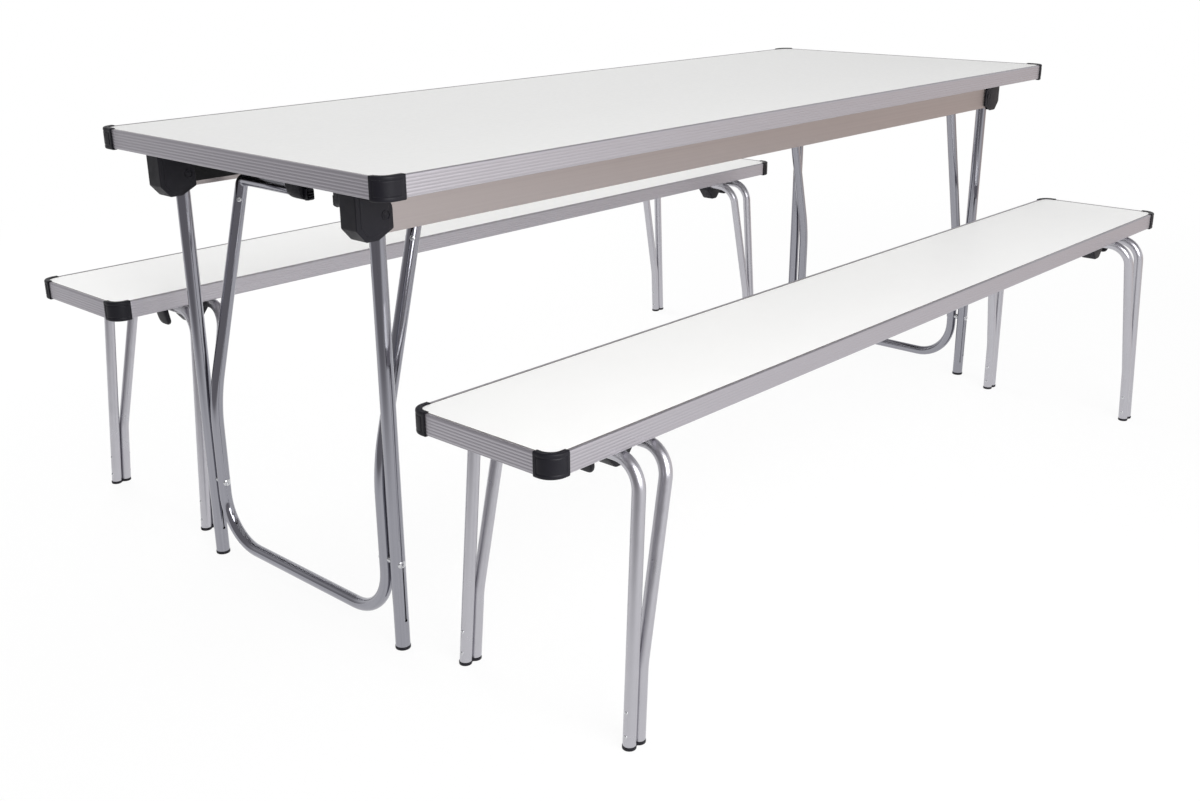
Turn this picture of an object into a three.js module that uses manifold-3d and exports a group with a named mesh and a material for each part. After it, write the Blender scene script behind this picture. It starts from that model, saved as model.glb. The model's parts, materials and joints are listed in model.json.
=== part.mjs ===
// Folding dining table with a pair of folding benches, as used in school halls.
// Millimetres, +Z up, +X along the table, origin on the floor under the table's centre.
// Both ends are alike, so the pieces of an end are drawn once in that end's own frame,
// where +x points outboard, and the frame is turned half a turn for the left end.
import * as THREE from "three";
import { mergeVertices } from "three/addons/utils/BufferGeometryUtils.js";
import Module from "manifold-3d";

const wasm = await Module();
wasm.setup();

// Running and seating gap between neighbouring pieces
const CLEARANCE = 0.3;

// Table top over its corner caps, and its height to the top of the edging
const TABLE_LENGTH = 1830;
const TABLE_WIDTH = 685;
const TABLE_HEIGHT = 712;

// Bench seat measured the same way, and its centre line's distance from the table's long side
const BENCH_LENGTH = 1830;
const BENCH_WIDTH = 254;
const BENCH_HEIGHT = 425;
const BENCH_STANDOFF = 152.5;

// Aluminium edging, a channel round the board, whose rebated upper face lies just below the lips
const EDGING_HEIGHT = 29;
const EDGING_WALL = 2;
const EDGING_LIP_REACH = 5;
const EDGING_LIP_THICKNESS = 1.5;
const EDGING_CORNER_RADIUS = 22.1;
const LAMINATE_DROP = 0.4;

// Plastic corner caps clipped over the edging; the table's are handed, the benches' are even
const CAP_WALL = 1.6;
const CAP_TOP_LIP = 1.2;
const CAP_BOTTOM_LIP = 2;
const CAP_LIP_REACH = 5;
const TABLE_CAP_LONG_LEG = 40;
const TABLE_CAP_SHORT_LEG = 25;
const BENCH_CAP_LEG = 31.5;

// Table legs: outer tubes that hang on a pivot in a plastic housing
const LEG_DIAMETER = 22;
const LEG_WALL = 1.5;
const LEG_INSET = 72;
const LEG_SIDE_INSET = 105.5;
const LEG_TOP_OVER_PIVOT = 12;
const PIVOT_DROP = 39.8;
const PIVOT_INBOARD_OF_LEG = 3;
const PIVOT_PIN_DIAMETER = 8;
const PIVOT_BOSS_DIAMETER = 14;
const PIVOT_BOSS_PROUD = 1.5;
const FOOT_HEIGHT = 5;
const FOOT_RIM = 0.5;
const FOOT_PLUG_HEIGHT = 15;

// Leg housing, a shell that is open inboard and below so that the leg can swing
const HOUSING_WALL = 3;
const HOUSING_SIDE_GAP = 3;
const HOUSING_DEPTH = 71.8;
const HOUSING_INBOARD_REACH = 15.5;
const HOUSING_OUTBOARD_REACH = 45;
const HOUSING_FLAT_LENGTH = 20;
const HOUSING_OUTBOARD_CHAMFER = 15;
const HOUSING_OUTBOARD_RISE = 17;
const HOUSING_INBOARD_RISE = 12.5;
const HOUSING_SHOULDER_RADIUS = 16;
const HOUSING_SHOULDER_DROP = 18;

// Side rails under the board
const RAIL_DEPTH = 64.8;
const RAIL_WALL = 1.8;
const RAIL_FLANGE = 20;
const RAIL_LEG_GAP = 0.7;
const RAIL_PIN_GAP = 1;

// Brace: uprights beside the legs, a low stretcher, and stub ends that turn in the pivot bracket
const BRACE_DIAMETER = 20;
const BRACE_WALL = 1.5;
const BRACE_LEG_GAP = 6;
const BRACE_PIVOT_INBOARD_OF_LEG = 90;
const BRACE_PIVOT_DROP = 57.8;
const BRACE_STUB_END = 53;
const BRACE_CORNER_RADIUS = 12;
const BRACE_KINK_HEIGHT = 280;
const BRACE_KINK_RADIUS = 350;
const BRACE_BEND_RADIUS = 80;
const BRACE_STRETCHER_HEIGHT = 37;
const BRACE_PIN_HEIGHT = 138;
const BRACE_PIN_DIAMETER = 8;

// Slot in each leg, in which the brace's pin runs as the pair folds
const SLOT_WIDTH = 2.4;
const SLOT_LENGTH = 90;
const SLOT_END_DIAMETER = 5;

// Pivot bracket under the board: a plate, and a bored block at each stub of the brace
const BRACKET_WALL = 2.8;
const BRACKET_OUTER_END = 76;
const BRACKET_INNER_END = 41;
const BRACKET_PLATE_THICKNESS = 5;
const BRACKET_PLATE_WIDTH = 60;
const STUB_END_GAP = 2;

// Release tabs: ribbed thumb pieces whose tongue runs in the block's inner end
const TAB_WIDTH = 11;
const TAB_THICKNESS = 10;
const TAB_RISE = 6;
const TAB_DROP = 13;
const TAB_RIB_COUNT = 4;
const TAB_RIB_HEIGHT = 1.6;
const TAB_RIB_SHARE = 0.5;
const TAB_NECK_WIDTH = 4;
const TAB_NECK_LENGTH = 3;
const TAB_HEAD_WIDTH = 8;
const TAB_HEAD_LENGTH = 3.3;
const TAB_SPRING_ROOM = 12;

// Bench end frames: an outboard and an inboard hoop of tube that share their feet
const BENCH_TUBE_DIAMETER = 18;
const BENCH_TUBE_WALL = 1.5;
const BENCH_PAIR_GAP = 0.6;
const BENCH_FOOT_INSET = 103;
const BENCH_FOOT_OUTSET = 29;
const BENCH_HOOP_OUTSET = 19;
const BENCH_CROSSBAR_DROP = 9.5;
const BENCH_OUTBOARD_BAR_INSET = 133;
const BENCH_INBOARD_BAR_INSET = 189;
const BENCH_BEND_RADIUS = 40;
const BENCH_KINK_HEIGHT = 110;
const BENCH_KINK_RADIUS = 120;
const BENCH_FOOT_HEIGHT = 5;
const BENCH_FOOT_RIM = 0.5;
const BENCH_FOOT_PLUG_HEIGHT = 8;
const BENCH_FOOT_PLUG_DIAMETER = 12;

// Bench saddle: blocks under the seat that hold the inboard crossbar as a hinge and seat the other
const SADDLE_BLOCK_OFFSET = 64;
const SADDLE_BLOCK_LENGTH = 30;
const SADDLE_DEPTH = 37;
const SADDLE_INBOARD_REACH = 14;
const SADDLE_BOTTOM_INBOARD_REACH = 2;
const SADDLE_SIDE_DROP = 12;
const SADDLE_CLAW_WALL = 8;
const SADDLE_CLAW_SWEEP = Math.PI / 6;
const SADDLE_STRIP_WIDTH = 20;
const SADDLE_STRIP_THICKNESS = 4;
const SADDLE_SWING_GAP = 1.5;

// Facets of round shapes, and how far a cutter runs past what it cuts
const TUBE_SIDES = 10;
const PIN_SIDES = 10;
const ARC_CHORDS = 4;
const BEND_STEPS = 3;
const KINK_STEPS = 1;
const OVERCUT = 1;

// Places worked out from the sizes above
const CAP_OFFSET = CLEARANCE + CAP_WALL;
const BOARD_RECESS = EDGING_LIP_THICKNESS + CLEARANCE;
const TABLE_UNDERSIDE = TABLE_HEIGHT - EDGING_HEIGHT + BOARD_RECESS;
const TABLE_SEATING = TABLE_UNDERSIDE - CLEARANCE;
const LEG_X = TABLE_LENGTH / 2 - LEG_INSET;
const LEG_Y = TABLE_WIDTH / 2 - LEG_SIDE_INSET;
const LEG_RADIUS = LEG_DIAMETER / 2;
const PIVOT_X = LEG_X - PIVOT_INBOARD_OF_LEG;
const PIVOT_Z = TABLE_UNDERSIDE - PIVOT_DROP;
const HOUSING_HALF_ROOM = LEG_RADIUS + HOUSING_SIDE_GAP;
const HOUSING_HALF_WIDTH = HOUSING_HALF_ROOM + HOUSING_WALL;
const HOUSING_INBOARD_X = LEG_X - HOUSING_INBOARD_REACH;
const HOUSING_OUTBOARD_X = LEG_X + HOUSING_OUTBOARD_REACH;
const HOUSING_BOTTOM = TABLE_UNDERSIDE - HOUSING_DEPTH;
const RAIL_INNER_Y = LEG_Y + LEG_RADIUS + RAIL_LEG_GAP;
const RAIL_OUTER_Y = RAIL_INNER_Y + RAIL_WALL;
const RAIL_END_X = PIVOT_X - PIVOT_PIN_DIAMETER / 2 - RAIL_PIN_GAP;
const BRACE_RADIUS = BRACE_DIAMETER / 2;
const BRACE_Y = LEG_Y - LEG_RADIUS - BRACE_LEG_GAP - BRACE_RADIUS;
const BRACE_PIVOT_X = LEG_X - BRACE_PIVOT_INBOARD_OF_LEG;
const BRACE_PIVOT_Z = TABLE_UNDERSIDE - BRACE_PIVOT_DROP;
const TAB_BACK = BRACKET_INNER_END - CLEARANCE;
const TAB_TOP = BRACE_PIVOT_Z + TAB_RISE;
const TAB_BOTTOM = BRACE_PIVOT_Z - TAB_DROP;
const BENCH_SETOUT = TABLE_WIDTH / 2 + BENCH_STANDOFF;
const BENCH_UNDERSIDE = BENCH_HEIGHT - EDGING_HEIGHT + BOARD_RECESS;
const BENCH_SEATING = BENCH_UNDERSIDE - CLEARANCE;
const BENCH_TUBE_RADIUS = BENCH_TUBE_DIAMETER / 2;
const BENCH_BAR_Z = BENCH_HEIGHT - EDGING_HEIGHT - BENCH_CROSSBAR_DROP;
const BENCH_FOOT_X = BENCH_LENGTH / 2 - BENCH_FOOT_INSET;
const BENCH_FOOT_Y = BENCH_WIDTH / 2 + BENCH_FOOT_OUTSET;
const BENCH_HOOP_Y = BENCH_WIDTH / 2 + BENCH_HOOP_OUTSET;
const BENCH_PAIR_PITCH = BENCH_TUBE_DIAMETER + BENCH_PAIR_GAP;
const OUTBOARD_BAR_X = BENCH_LENGTH / 2 - BENCH_OUTBOARD_BAR_INSET;
const INBOARD_BAR_X = BENCH_LENGTH / 2 - BENCH_INBOARD_BAR_INSET;

// Finishes
const finish = (color, roughness, metalness) =>
  new THREE.MeshStandardMaterial({ color, roughness, metalness });
const LAMINATE = finish(0xf1f1ef, 0.45, 0);
const ANODISED = finish(0xb4b2b4, 0.4, 1);
const CHROME = finish(0xc6c7ca, 0.12, 1);
const SATIN_STEEL = finish(0xb9b8bc, 0.35, 1);
const BLACK_PLASTIC = finish(0x2a2a2e, 0.55, 0);

// A closed geometry as a solid that can be joined and cut
function toBody(geometry) {
  geometry.deleteAttribute("normal");
  geometry.deleteAttribute("uv");
  const merged = mergeVertices(geometry, 1e-4);
  const vertProperties = new Float32Array(merged.attributes.position.array);
  const triVerts = new Uint32Array(merged.index.array);
  return new wasm.Manifold(new wasm.Mesh({ numProp: 3, vertProperties, triVerts }));
}

function toGeometry(body) {
  const { vertProperties, triVerts } = body.getMesh();
  const geometry = new THREE.BufferGeometry();
  geometry.setAttribute("position", new THREE.BufferAttribute(vertProperties, 3));
  geometry.setIndex(new THREE.BufferAttribute(triVerts, 1));
  return geometry;
}

function named(name, body, material) {
  const mesh = new THREE.Mesh(toGeometry(body), material);
  mesh.name = name;
  return mesh;
}

function joined(...bodies) {
  return bodies.reduce((whole, body) => whole.add(body));
}

// Two distances from the middle plane as an ordered span on one side of it
function spanOn(sign, inner, outer) {
  return sign > 0 ? [inner, outer] : [-outer, -inner];
}

// Box between its lowest and highest corners
function box(low, high) {
  const size = high.map((value, axis) => value - low[axis]);
  const centre = high.map((value, axis) => (value + low[axis]) / 2);
  return toBody(new THREE.BoxGeometry(...size).translate(...centre));
}

// Round pin along y, standing at x and z
function pinAlongY(x, z, radius, [from, to]) {
  const pin = new THREE.CylinderGeometry(radius, radius, to - from, PIN_SIDES);
  return toBody(pin.translate(x, (from + to) / 2, z));
}

// Round peg along z, standing at x and y
function pegAlongZ(x, y, radius, [from, to]) {
  const peg = new THREE.CylinderGeometry(radius, radius, to - from, PIN_SIDES);
  return toBody(peg.rotateX(Math.PI / 2).translate(x, y, (from + to) / 2));
}

// Radius of a faceted bore whose flats clear a round piece of the given radius
function boreFor(radius) {
  return (radius + CLEARANCE) / Math.cos(Math.PI / PIN_SIDES);
}

// Outline pushed along z; an arc in it gets twice as many chords as the curve segments asked for
function pushed(shape, depth) {
  return new THREE.ExtrudeGeometry(shape, { depth, bevelEnabled: false, curveSegments: ARC_CHORDS / 2 });
}

// Plan outline raised between two heights
function raised(shape, from, to) {
  return toBody(pushed(shape, to - from).translate(0, 0, from));
}

// Side outline, drawn in x and z, carried along y
function sideways(shape, [from, to]) {
  return toBody(pushed(shape, to - from).rotateX(Math.PI / 2).translate(0, to, 0));
}

// Centre line of a bent tube: straight runs between corners, with a round bend at each inner one.
// Its parameter gives a straight run one step and a bend a few.
class BentLine extends THREE.Curve {
  constructor(corners) {
    super();
    const points = corners.map(({ at }) => new THREE.Vector3(...at));
    const runs = points.slice(1).map((point, i) => point.clone().sub(points[i]).normalize());
    const last = points.length - 1;
    this.stations = [{ point: points[0], tangent: runs[0] }];
    for (let i = 1; i < last; i += 1) this.addBend(points[i], runs[i - 1], runs[i], corners[i]);
    this.stations.push({ point: points[last], tangent: runs[last - 1] });
  }

  addBend(corner, arriving, leaving, { radius, steps }) {
    const turn = arriving.angleTo(leaving);
    const start = corner.clone().addScaledVector(arriving, -radius * Math.tan(turn / 2));
    const inward = leaving.clone().addScaledVector(arriving, -arriving.dot(leaving)).normalize();
    for (let step = 0; step <= steps; step += 1) {
      const angle = (turn * step) / steps;
      const point = start.clone().addScaledVector(arriving, radius * Math.sin(angle));
      point.addScaledVector(inward, radius * (1 - Math.cos(angle)));
      const tangent = arriving.clone().multiplyScalar(Math.cos(angle));
      tangent.addScaledVector(inward, Math.sin(angle));
      this.stations.push({ point, tangent });
    }
  }

  get steps() {
    return this.stations.length - 1;
  }

  stationAt(u) {
    return this.stations[Math.round(u * this.steps)];
  }

  getPointAt(u, target = new THREE.Vector3()) {
    return target.copy(this.stationAt(u).point);
  }

  getTangentAt(u, target = new THREE.Vector3()) {
    return target.copy(this.stationAt(u).tangent);
  }
}

function facetedCircle(radius) {
  return Array.from({ length: TUBE_SIDES }, (_, side) => {
    const angle = (2 * Math.PI * (side + 0.5)) / TUBE_SIDES;
    return new THREE.Vector2(radius * Math.cos(angle), radius * Math.sin(angle));
  });
}

// Tube with open ends along a bent line
function tube(corners, diameter, wall) {
  const line = new BentLine(corners);
  const section = new THREE.Shape(facetedCircle(diameter / 2));
  section.holes.push(new THREE.Path(facetedCircle(diameter / 2 - wall)));
  const options = { steps: line.steps, extrudePath: line, bevelEnabled: false };
  return toBody(new THREE.ExtrudeGeometry(section, options));
}

// Rectangle with rounded corners about the origin
function roundedRectangle(length, width, radius) {
  const x = length / 2 - radius;
  const y = width / 2 - radius;
  const quarter = Math.PI / 2;
  const shape = new THREE.Shape();
  shape.absarc(x, y, radius, 0, quarter, false);
  shape.absarc(-x, y, radius, quarter, 2 * quarter, false);
  shape.absarc(-x, -y, radius, 2 * quarter, 3 * quarter, false);
  shape.absarc(x, -y, radius, 3 * quarter, 4 * quarter, false);
  return shape;
}

// Plan outline of a top, drawn in by a distance from the edging's outer face
function topOutline(length, width, inset) {
  const drawnIn = 2 * (CAP_OFFSET + inset);
  return roundedRectangle(length - drawnIn, width - drawnIn, EDGING_CORNER_RADIUS - inset);
}

// Board seated in the edging, rebated so that its laminate comes up between the lips
function board(length, width, height) {
  const bottom = height - EDGING_HEIGHT + BOARD_RECESS;
  const core = topOutline(length, width, EDGING_WALL + CLEARANCE);
  const face = topOutline(length, width, EDGING_LIP_REACH + CLEARANCE);
  return joined(raised(core, bottom, height - BOARD_RECESS), raised(face, bottom, height - LAMINATE_DROP));
}

// Edging: a channel section whose lips lap the board's two faces
function edging(length, width, height) {
  const bottom = height - EDGING_HEIGHT;
  const band = topOutline(length, width, 0);
  band.holes.push(topOutline(length, width, EDGING_LIP_REACH));
  const channel = topOutline(length, width, EDGING_WALL);
  const groove = raised(channel, bottom + EDGING_LIP_THICKNESS, height - EDGING_LIP_THICKNESS);
  return raised(band, bottom, height).subtract(groove);
}

// Plan outline of a corner cap. The edging's virtual corner is the origin, and the board lies
// towards +x and +y; outside and inside are the distances that the band reaches from the edging.
function cornerBand(outside, inside, legX, legY) {
  const radius = EDGING_CORNER_RADIUS;
  const shape = new THREE.Shape();
  shape.moveTo(legX, -outside);
  shape.lineTo(legX, inside);
  shape.absarc(radius, radius, radius - inside, 1.5 * Math.PI, Math.PI, true);
  shape.lineTo(inside, legY);
  shape.lineTo(-outside, legY);
  shape.absarc(radius, radius, radius + outside, Math.PI, 1.5 * Math.PI, false);
  return shape;
}

// Corner cap: a clip with an outer wall and two lips, open towards the board
function cornerCap(height, legX, legY) {
  const bottom = height - EDGING_HEIGHT - CLEARANCE;
  const top = height + CLEARANCE;
  const legs = [legX - CAP_OFFSET, legY - CAP_OFFSET];
  const solid = cornerBand(CAP_OFFSET, CAP_LIP_REACH, ...legs);
  const room = cornerBand(CLEARANCE, CAP_LIP_REACH + OVERCUT, ...legs.map((leg) => leg + OVERCUT));
  return raised(solid, bottom - CAP_BOTTOM_LIP, top + CAP_TOP_LIP).subtract(raised(room, bottom, top));
}

// The four caps of a top, each turned a quarter further round
function cornerCaps(prefix, length, width, makeCap) {
  const x = length / 2 - CAP_OFFSET;
  const y = width / 2 - CAP_OFFSET;
  const corners = [
    { place: "near_left", at: [-x, -y] },
    { place: "near_right", at: [x, -y] },
    { place: "far_right", at: [x, y] },
    { place: "far_left", at: [-x, y] },
  ];
  return corners.map(({ place, at }, turn) => {
    const cap = named(`${prefix}_cap_${place}`, makeCap(), BLACK_PLASTIC);
    cap.position.set(...at, 0);
    cap.rotation.z = (turn * Math.PI) / 2;
    return cap;
  });
}

// Side rail: a folded angle, web down and flange up against the board
function rail() {
  const webLow = [-RAIL_END_X, RAIL_INNER_Y, TABLE_UNDERSIDE - RAIL_DEPTH];
  const flangeLow = [-RAIL_END_X, RAIL_INNER_Y - RAIL_FLANGE, TABLE_SEATING - RAIL_WALL];
  const high = [RAIL_END_X, RAIL_OUTER_Y, TABLE_SEATING];
  return joined(box(webLow, high), box(flangeLow, high));
}

// Side outline of a leg housing: a chamfered foot, and a shoulder rounded off towards the rail
function housingOutline() {
  const flatEnd = HOUSING_OUTBOARD_X - HOUSING_OUTBOARD_CHAMFER;
  const shoulderX = HOUSING_INBOARD_X + HOUSING_SHOULDER_RADIUS;
  const shoulderZ = TABLE_UNDERSIDE - HOUSING_SHOULDER_DROP - HOUSING_SHOULDER_RADIUS;
  const shape = new THREE.Shape();
  shape.moveTo(HOUSING_OUTBOARD_X, TABLE_SEATING);
  shape.lineTo(shoulderX, TABLE_SEATING);
  shape.absarc(shoulderX, shoulderZ, HOUSING_SHOULDER_RADIUS, Math.PI / 2, Math.PI, false);
  shape.lineTo(HOUSING_INBOARD_X, HOUSING_BOTTOM + HOUSING_INBOARD_RISE);
  shape.lineTo(flatEnd - HOUSING_FLAT_LENGTH, HOUSING_BOTTOM);
  shape.lineTo(flatEnd, HOUSING_BOTTOM);
  shape.lineTo(HOUSING_OUTBOARD_X, HOUSING_BOTTOM + HOUSING_OUTBOARD_RISE);
  return shape;
}

// Room inside a housing: closed above, outboard and at the flat, and open where the leg swings.
// The flat's edge is the stop that the upright leg stands against.
function housingRoom() {
  const top = TABLE_SEATING - HOUSING_WALL;
  const floor = HOUSING_BOTTOM + HOUSING_WALL;
  const below = HOUSING_BOTTOM - OVERCUT;
  const open = HOUSING_INBOARD_X - OVERCUT;
  const stop = LEG_X + LEG_RADIUS + CLEARANCE;
  const outboard = HOUSING_OUTBOARD_X - HOUSING_WALL;
  const shape = new THREE.Shape();
  shape.moveTo(open, top);
  shape.lineTo(open, below);
  shape.lineTo(stop, below);
  shape.lineTo(stop, floor);
  shape.lineTo(outboard - HOUSING_OUTBOARD_CHAMFER, floor);
  shape.lineTo(outboard, floor + HOUSING_OUTBOARD_RISE);
  shape.lineTo(outboard, top);
  return shape;
}

// Leg housing with its pivot pin and a round boss on each side
function housing(y) {
  const about = (half) => [y - half, y + half];
  const shell = sideways(housingOutline(), about(HOUSING_HALF_WIDTH));
  const room = sideways(housingRoom(), about(HOUSING_HALF_ROOM));
  const bossSpan = about(HOUSING_HALF_WIDTH + PIVOT_BOSS_PROUD);
  const boss = pinAlongY(PIVOT_X, PIVOT_Z, PIVOT_BOSS_DIAMETER / 2, bossSpan);
  const pin = pinAlongY(PIVOT_X, PIVOT_Z, PIVOT_PIN_DIAMETER / 2, about(HOUSING_HALF_WIDTH));
  return joined(joined(shell, boss).subtract(room), pin);
}

// Table leg: a straight tube, cross-drilled for the pivot and slotted for the brace's pin
function leg(y) {
  const bottom = [LEG_X, y, FOOT_HEIGHT + CLEARANCE];
  const top = [LEG_X, y, PIVOT_Z + LEG_TOP_OVER_PIVOT];
  const through = [y - LEG_DIAMETER, y + LEG_DIAMETER];
  const slotEnd = BRACE_PIN_HEIGHT - SLOT_LENGTH;
  const slotLow = [LEG_X - SLOT_WIDTH / 2, through[0], slotEnd];
  const slotHigh = [LEG_X + SLOT_WIDTH / 2, through[1], BRACE_PIN_HEIGHT];
  const pivotHole = pinAlongY(PIVOT_X, PIVOT_Z, boreFor(PIVOT_PIN_DIAMETER / 2), through);
  const endHole = pinAlongY(LEG_X, slotEnd, SLOT_END_DIAMETER / 2, through);
  const bar = tube([{ at: bottom }, { at: top }], LEG_DIAMETER, LEG_WALL);
  return bar.subtract(joined(pivotHole, box(slotLow, slotHigh), endHole));
}

// Foot of a table leg: a disc with a plug up inside the tube
function foot(y) {
  const plugRadius = (LEG_RADIUS - LEG_WALL) * Math.cos(Math.PI / TUBE_SIDES) - CLEARANCE;
  const disc = pegAlongZ(LEG_X, y, LEG_RADIUS + FOOT_RIM, [0, FOOT_HEIGHT]);
  return joined(disc, pegAlongZ(LEG_X, y, plugRadius, [FOOT_HEIGHT / 2, FOOT_HEIGHT + FOOT_PLUG_HEIGHT]));
}

// Brace: stubs along y at the top, kinked uprights, a low stretcher, and a pin towards each leg
function brace() {
  const bend = (radius) => ({ radius, steps: BEND_STEPS });
  const half = (sign) => [
    { at: [BRACE_PIVOT_X, sign * BRACE_STUB_END, BRACE_PIVOT_Z] },
    { at: [BRACE_PIVOT_X, sign * BRACE_Y, BRACE_PIVOT_Z], ...bend(BRACE_CORNER_RADIUS) },
    { at: [LEG_X, sign * BRACE_Y, BRACE_KINK_HEIGHT], radius: BRACE_KINK_RADIUS, steps: KINK_STEPS },
    { at: [LEG_X, sign * BRACE_Y, BRACE_STRETCHER_HEIGHT], ...bend(BRACE_BEND_RADIUS) },
  ];
  const bar = tube([...half(-1), ...half(1).reverse()], BRACE_DIAMETER, BRACE_WALL);
  const pinRoot = BRACE_Y + BRACE_RADIUS - 2 * BRACE_WALL;
  const pinTip = LEG_Y - LEG_RADIUS - CLEARANCE;
  const pins = [-1, 1].map((sign) => {
    const span = spanOn(sign, pinRoot, pinTip);
    return pinAlongY(LEG_X, BRACE_PIN_HEIGHT, BRACE_PIN_DIAMETER / 2, span);
  });
  return joined(bar, ...pins);
}

// Grooved room in a block's inner end for a tab's neck and head, open below
function tabGroove(sign) {
  const top = TAB_TOP + TAB_SPRING_ROOM;
  const bottom = BRACE_PIVOT_Z - BRACE_DIAMETER;
  const neckEnd = TAB_BACK + TAB_NECK_LENGTH;
  const slotBox = (width, inner, outer) => {
    const [from, to] = spanOn(sign, inner, outer);
    const half = width / 2 + CLEARANCE;
    return box([BRACE_PIVOT_X - half, from, bottom], [BRACE_PIVOT_X + half, to, top]);
  };
  const neck = slotBox(TAB_NECK_WIDTH, BRACKET_INNER_END - OVERCUT, neckEnd + TAB_HEAD_LENGTH);
  return joined(neck, slotBox(TAB_HEAD_WIDTH, neckEnd - CLEARANCE, neckEnd + TAB_HEAD_LENGTH + CLEARANCE));
}

// Pivot bracket: a plate under the board with a rounded, blind-bored block for each stub
function pivotBracket() {
  const radius = BRACE_RADIUS + CLEARANCE + BRACKET_WALL;
  const outline = new THREE.Shape();
  outline.moveTo(BRACE_PIVOT_X + radius, TABLE_SEATING);
  outline.lineTo(BRACE_PIVOT_X - radius, TABLE_SEATING);
  outline.absarc(BRACE_PIVOT_X, BRACE_PIVOT_Z, radius, Math.PI, 2 * Math.PI, false);
  const plateHalf = BRACKET_PLATE_WIDTH / 2;
  const plateLow = [BRACE_PIVOT_X - plateHalf, -BRACKET_OUTER_END, TABLE_SEATING - BRACKET_PLATE_THICKNESS];
  const plate = box(plateLow, [BRACE_PIVOT_X + plateHalf, BRACKET_OUTER_END, TABLE_SEATING]);
  const blocks = [-1, 1].map((sign) => {
    const solid = sideways(outline, spanOn(sign, BRACKET_INNER_END, BRACKET_OUTER_END));
    const boreSpan = spanOn(sign, BRACE_STUB_END - STUB_END_GAP, BRACKET_OUTER_END + OVERCUT);
    const bore = pinAlongY(BRACE_PIVOT_X, BRACE_PIVOT_Z, boreFor(BRACE_RADIUS), boreSpan);
    return solid.subtract(joined(bore, tabGroove(sign)));
  });
  return joined(plate, ...blocks);
}

// Release tab: a grip ribbed on the face towards the table's centre, with a headed tongue behind
function releaseTab(sign) {
  const piece = (width, inner, outer, bottom, top) => {
    const [from, to] = spanOn(sign, inner, outer);
    return box([BRACE_PIVOT_X - width / 2, from, bottom], [BRACE_PIVOT_X + width / 2, to, top]);
  };
  const face = TAB_BACK - TAB_THICKNESS;
  const neckEnd = TAB_BACK + TAB_NECK_LENGTH;
  const pitch = (TAB_TOP - TAB_BOTTOM) / TAB_RIB_COUNT;
  const ribWidth = pitch * TAB_RIB_SHARE;
  const ribs = Array.from({ length: TAB_RIB_COUNT }, (_, rib) => {
    const low = TAB_BOTTOM + rib * pitch + (pitch - ribWidth) / 2;
    return piece(TAB_WIDTH, face - TAB_RIB_HEIGHT, face + TAB_RIB_HEIGHT, low, low + ribWidth);
  });
  const grip = piece(TAB_WIDTH, face, TAB_BACK, TAB_BOTTOM, TAB_TOP);
  const neck = piece(TAB_NECK_WIDTH, TAB_BACK - TAB_NECK_LENGTH, neckEnd, TAB_BOTTOM, TAB_TOP);
  const head = piece(TAB_HEAD_WIDTH, neckEnd, neckEnd + TAB_HEAD_LENGTH, TAB_BOTTOM, TAB_TOP);
  return joined(grip, neck, head, ...ribs);
}

// Point at a height on the line of an outboard hoop's leg, shifted inboard
function hoopLegPoint(sign, height, inboard) {
  const share = height / BENCH_BAR_Z;
  const x = BENCH_FOOT_X + share * (OUTBOARD_BAR_X - BENCH_FOOT_X) - inboard;
  const y = BENCH_FOOT_Y + share * (BENCH_HOOP_Y - BENCH_FOOT_Y);
  return [x, sign * y, height];
}

// Bench hoop: a crossbar under the seat with a leg bent down at each end, cut flat at the foot
function hoop(half) {
  const bar = tube([...half(-1), ...half(1).reverse()], BENCH_TUBE_DIAMETER, BENCH_TUBE_WALL);
  const below = [-BENCH_LENGTH, -BENCH_LENGTH, -BENCH_LENGTH];
  return bar.subtract(box(below, [BENCH_LENGTH, BENCH_LENGTH, BENCH_FOOT_HEIGHT + CLEARANCE]));
}

function outboardHoop() {
  return hoop((sign) => [
    { at: hoopLegPoint(sign, -BENCH_TUBE_DIAMETER, 0) },
    { at: hoopLegPoint(sign, BENCH_BAR_Z, 0), radius: BENCH_BEND_RADIUS, steps: BEND_STEPS },
  ]);
}

function inboardHoop() {
  const corner = (sign) => [INBOARD_BAR_X, sign * BENCH_HOOP_Y, BENCH_BAR_Z];
  return hoop((sign) => [
    { at: hoopLegPoint(sign, -BENCH_TUBE_DIAMETER, BENCH_PAIR_PITCH) },
    {
      at: hoopLegPoint(sign, BENCH_KINK_HEIGHT, BENCH_PAIR_PITCH),
      radius: BENCH_KINK_RADIUS,
      steps: KINK_STEPS,
    },
    { at: corner(sign), radius: BENCH_BEND_RADIUS, steps: BEND_STEPS },
  ]);
}

// Foot shared by one leg of both hoops: two joined discs with a plug for each tube
function benchFoot(sign) {
  const y = sign * BENCH_FOOT_Y;
  const radius = BENCH_TUBE_RADIUS + BENCH_FOOT_RIM;
  const plug = [BENCH_FOOT_HEIGHT / 2, BENCH_FOOT_HEIGHT + BENCH_FOOT_PLUG_HEIGHT];
  const inboardX = BENCH_FOOT_X - BENCH_PAIR_PITCH;
  const web = box([inboardX, y - radius / 2, 0], [BENCH_FOOT_X, y + radius / 2, BENCH_FOOT_HEIGHT]);
  const pads = [BENCH_FOOT_X, inboardX].map((x) => {
    const disc = pegAlongZ(x, y, radius, [0, BENCH_FOOT_HEIGHT]);
    return joined(disc, pegAlongZ(x, y, BENCH_FOOT_PLUG_DIAMETER / 2, plug));
  });
  return joined(web, ...pads);
}

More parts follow.
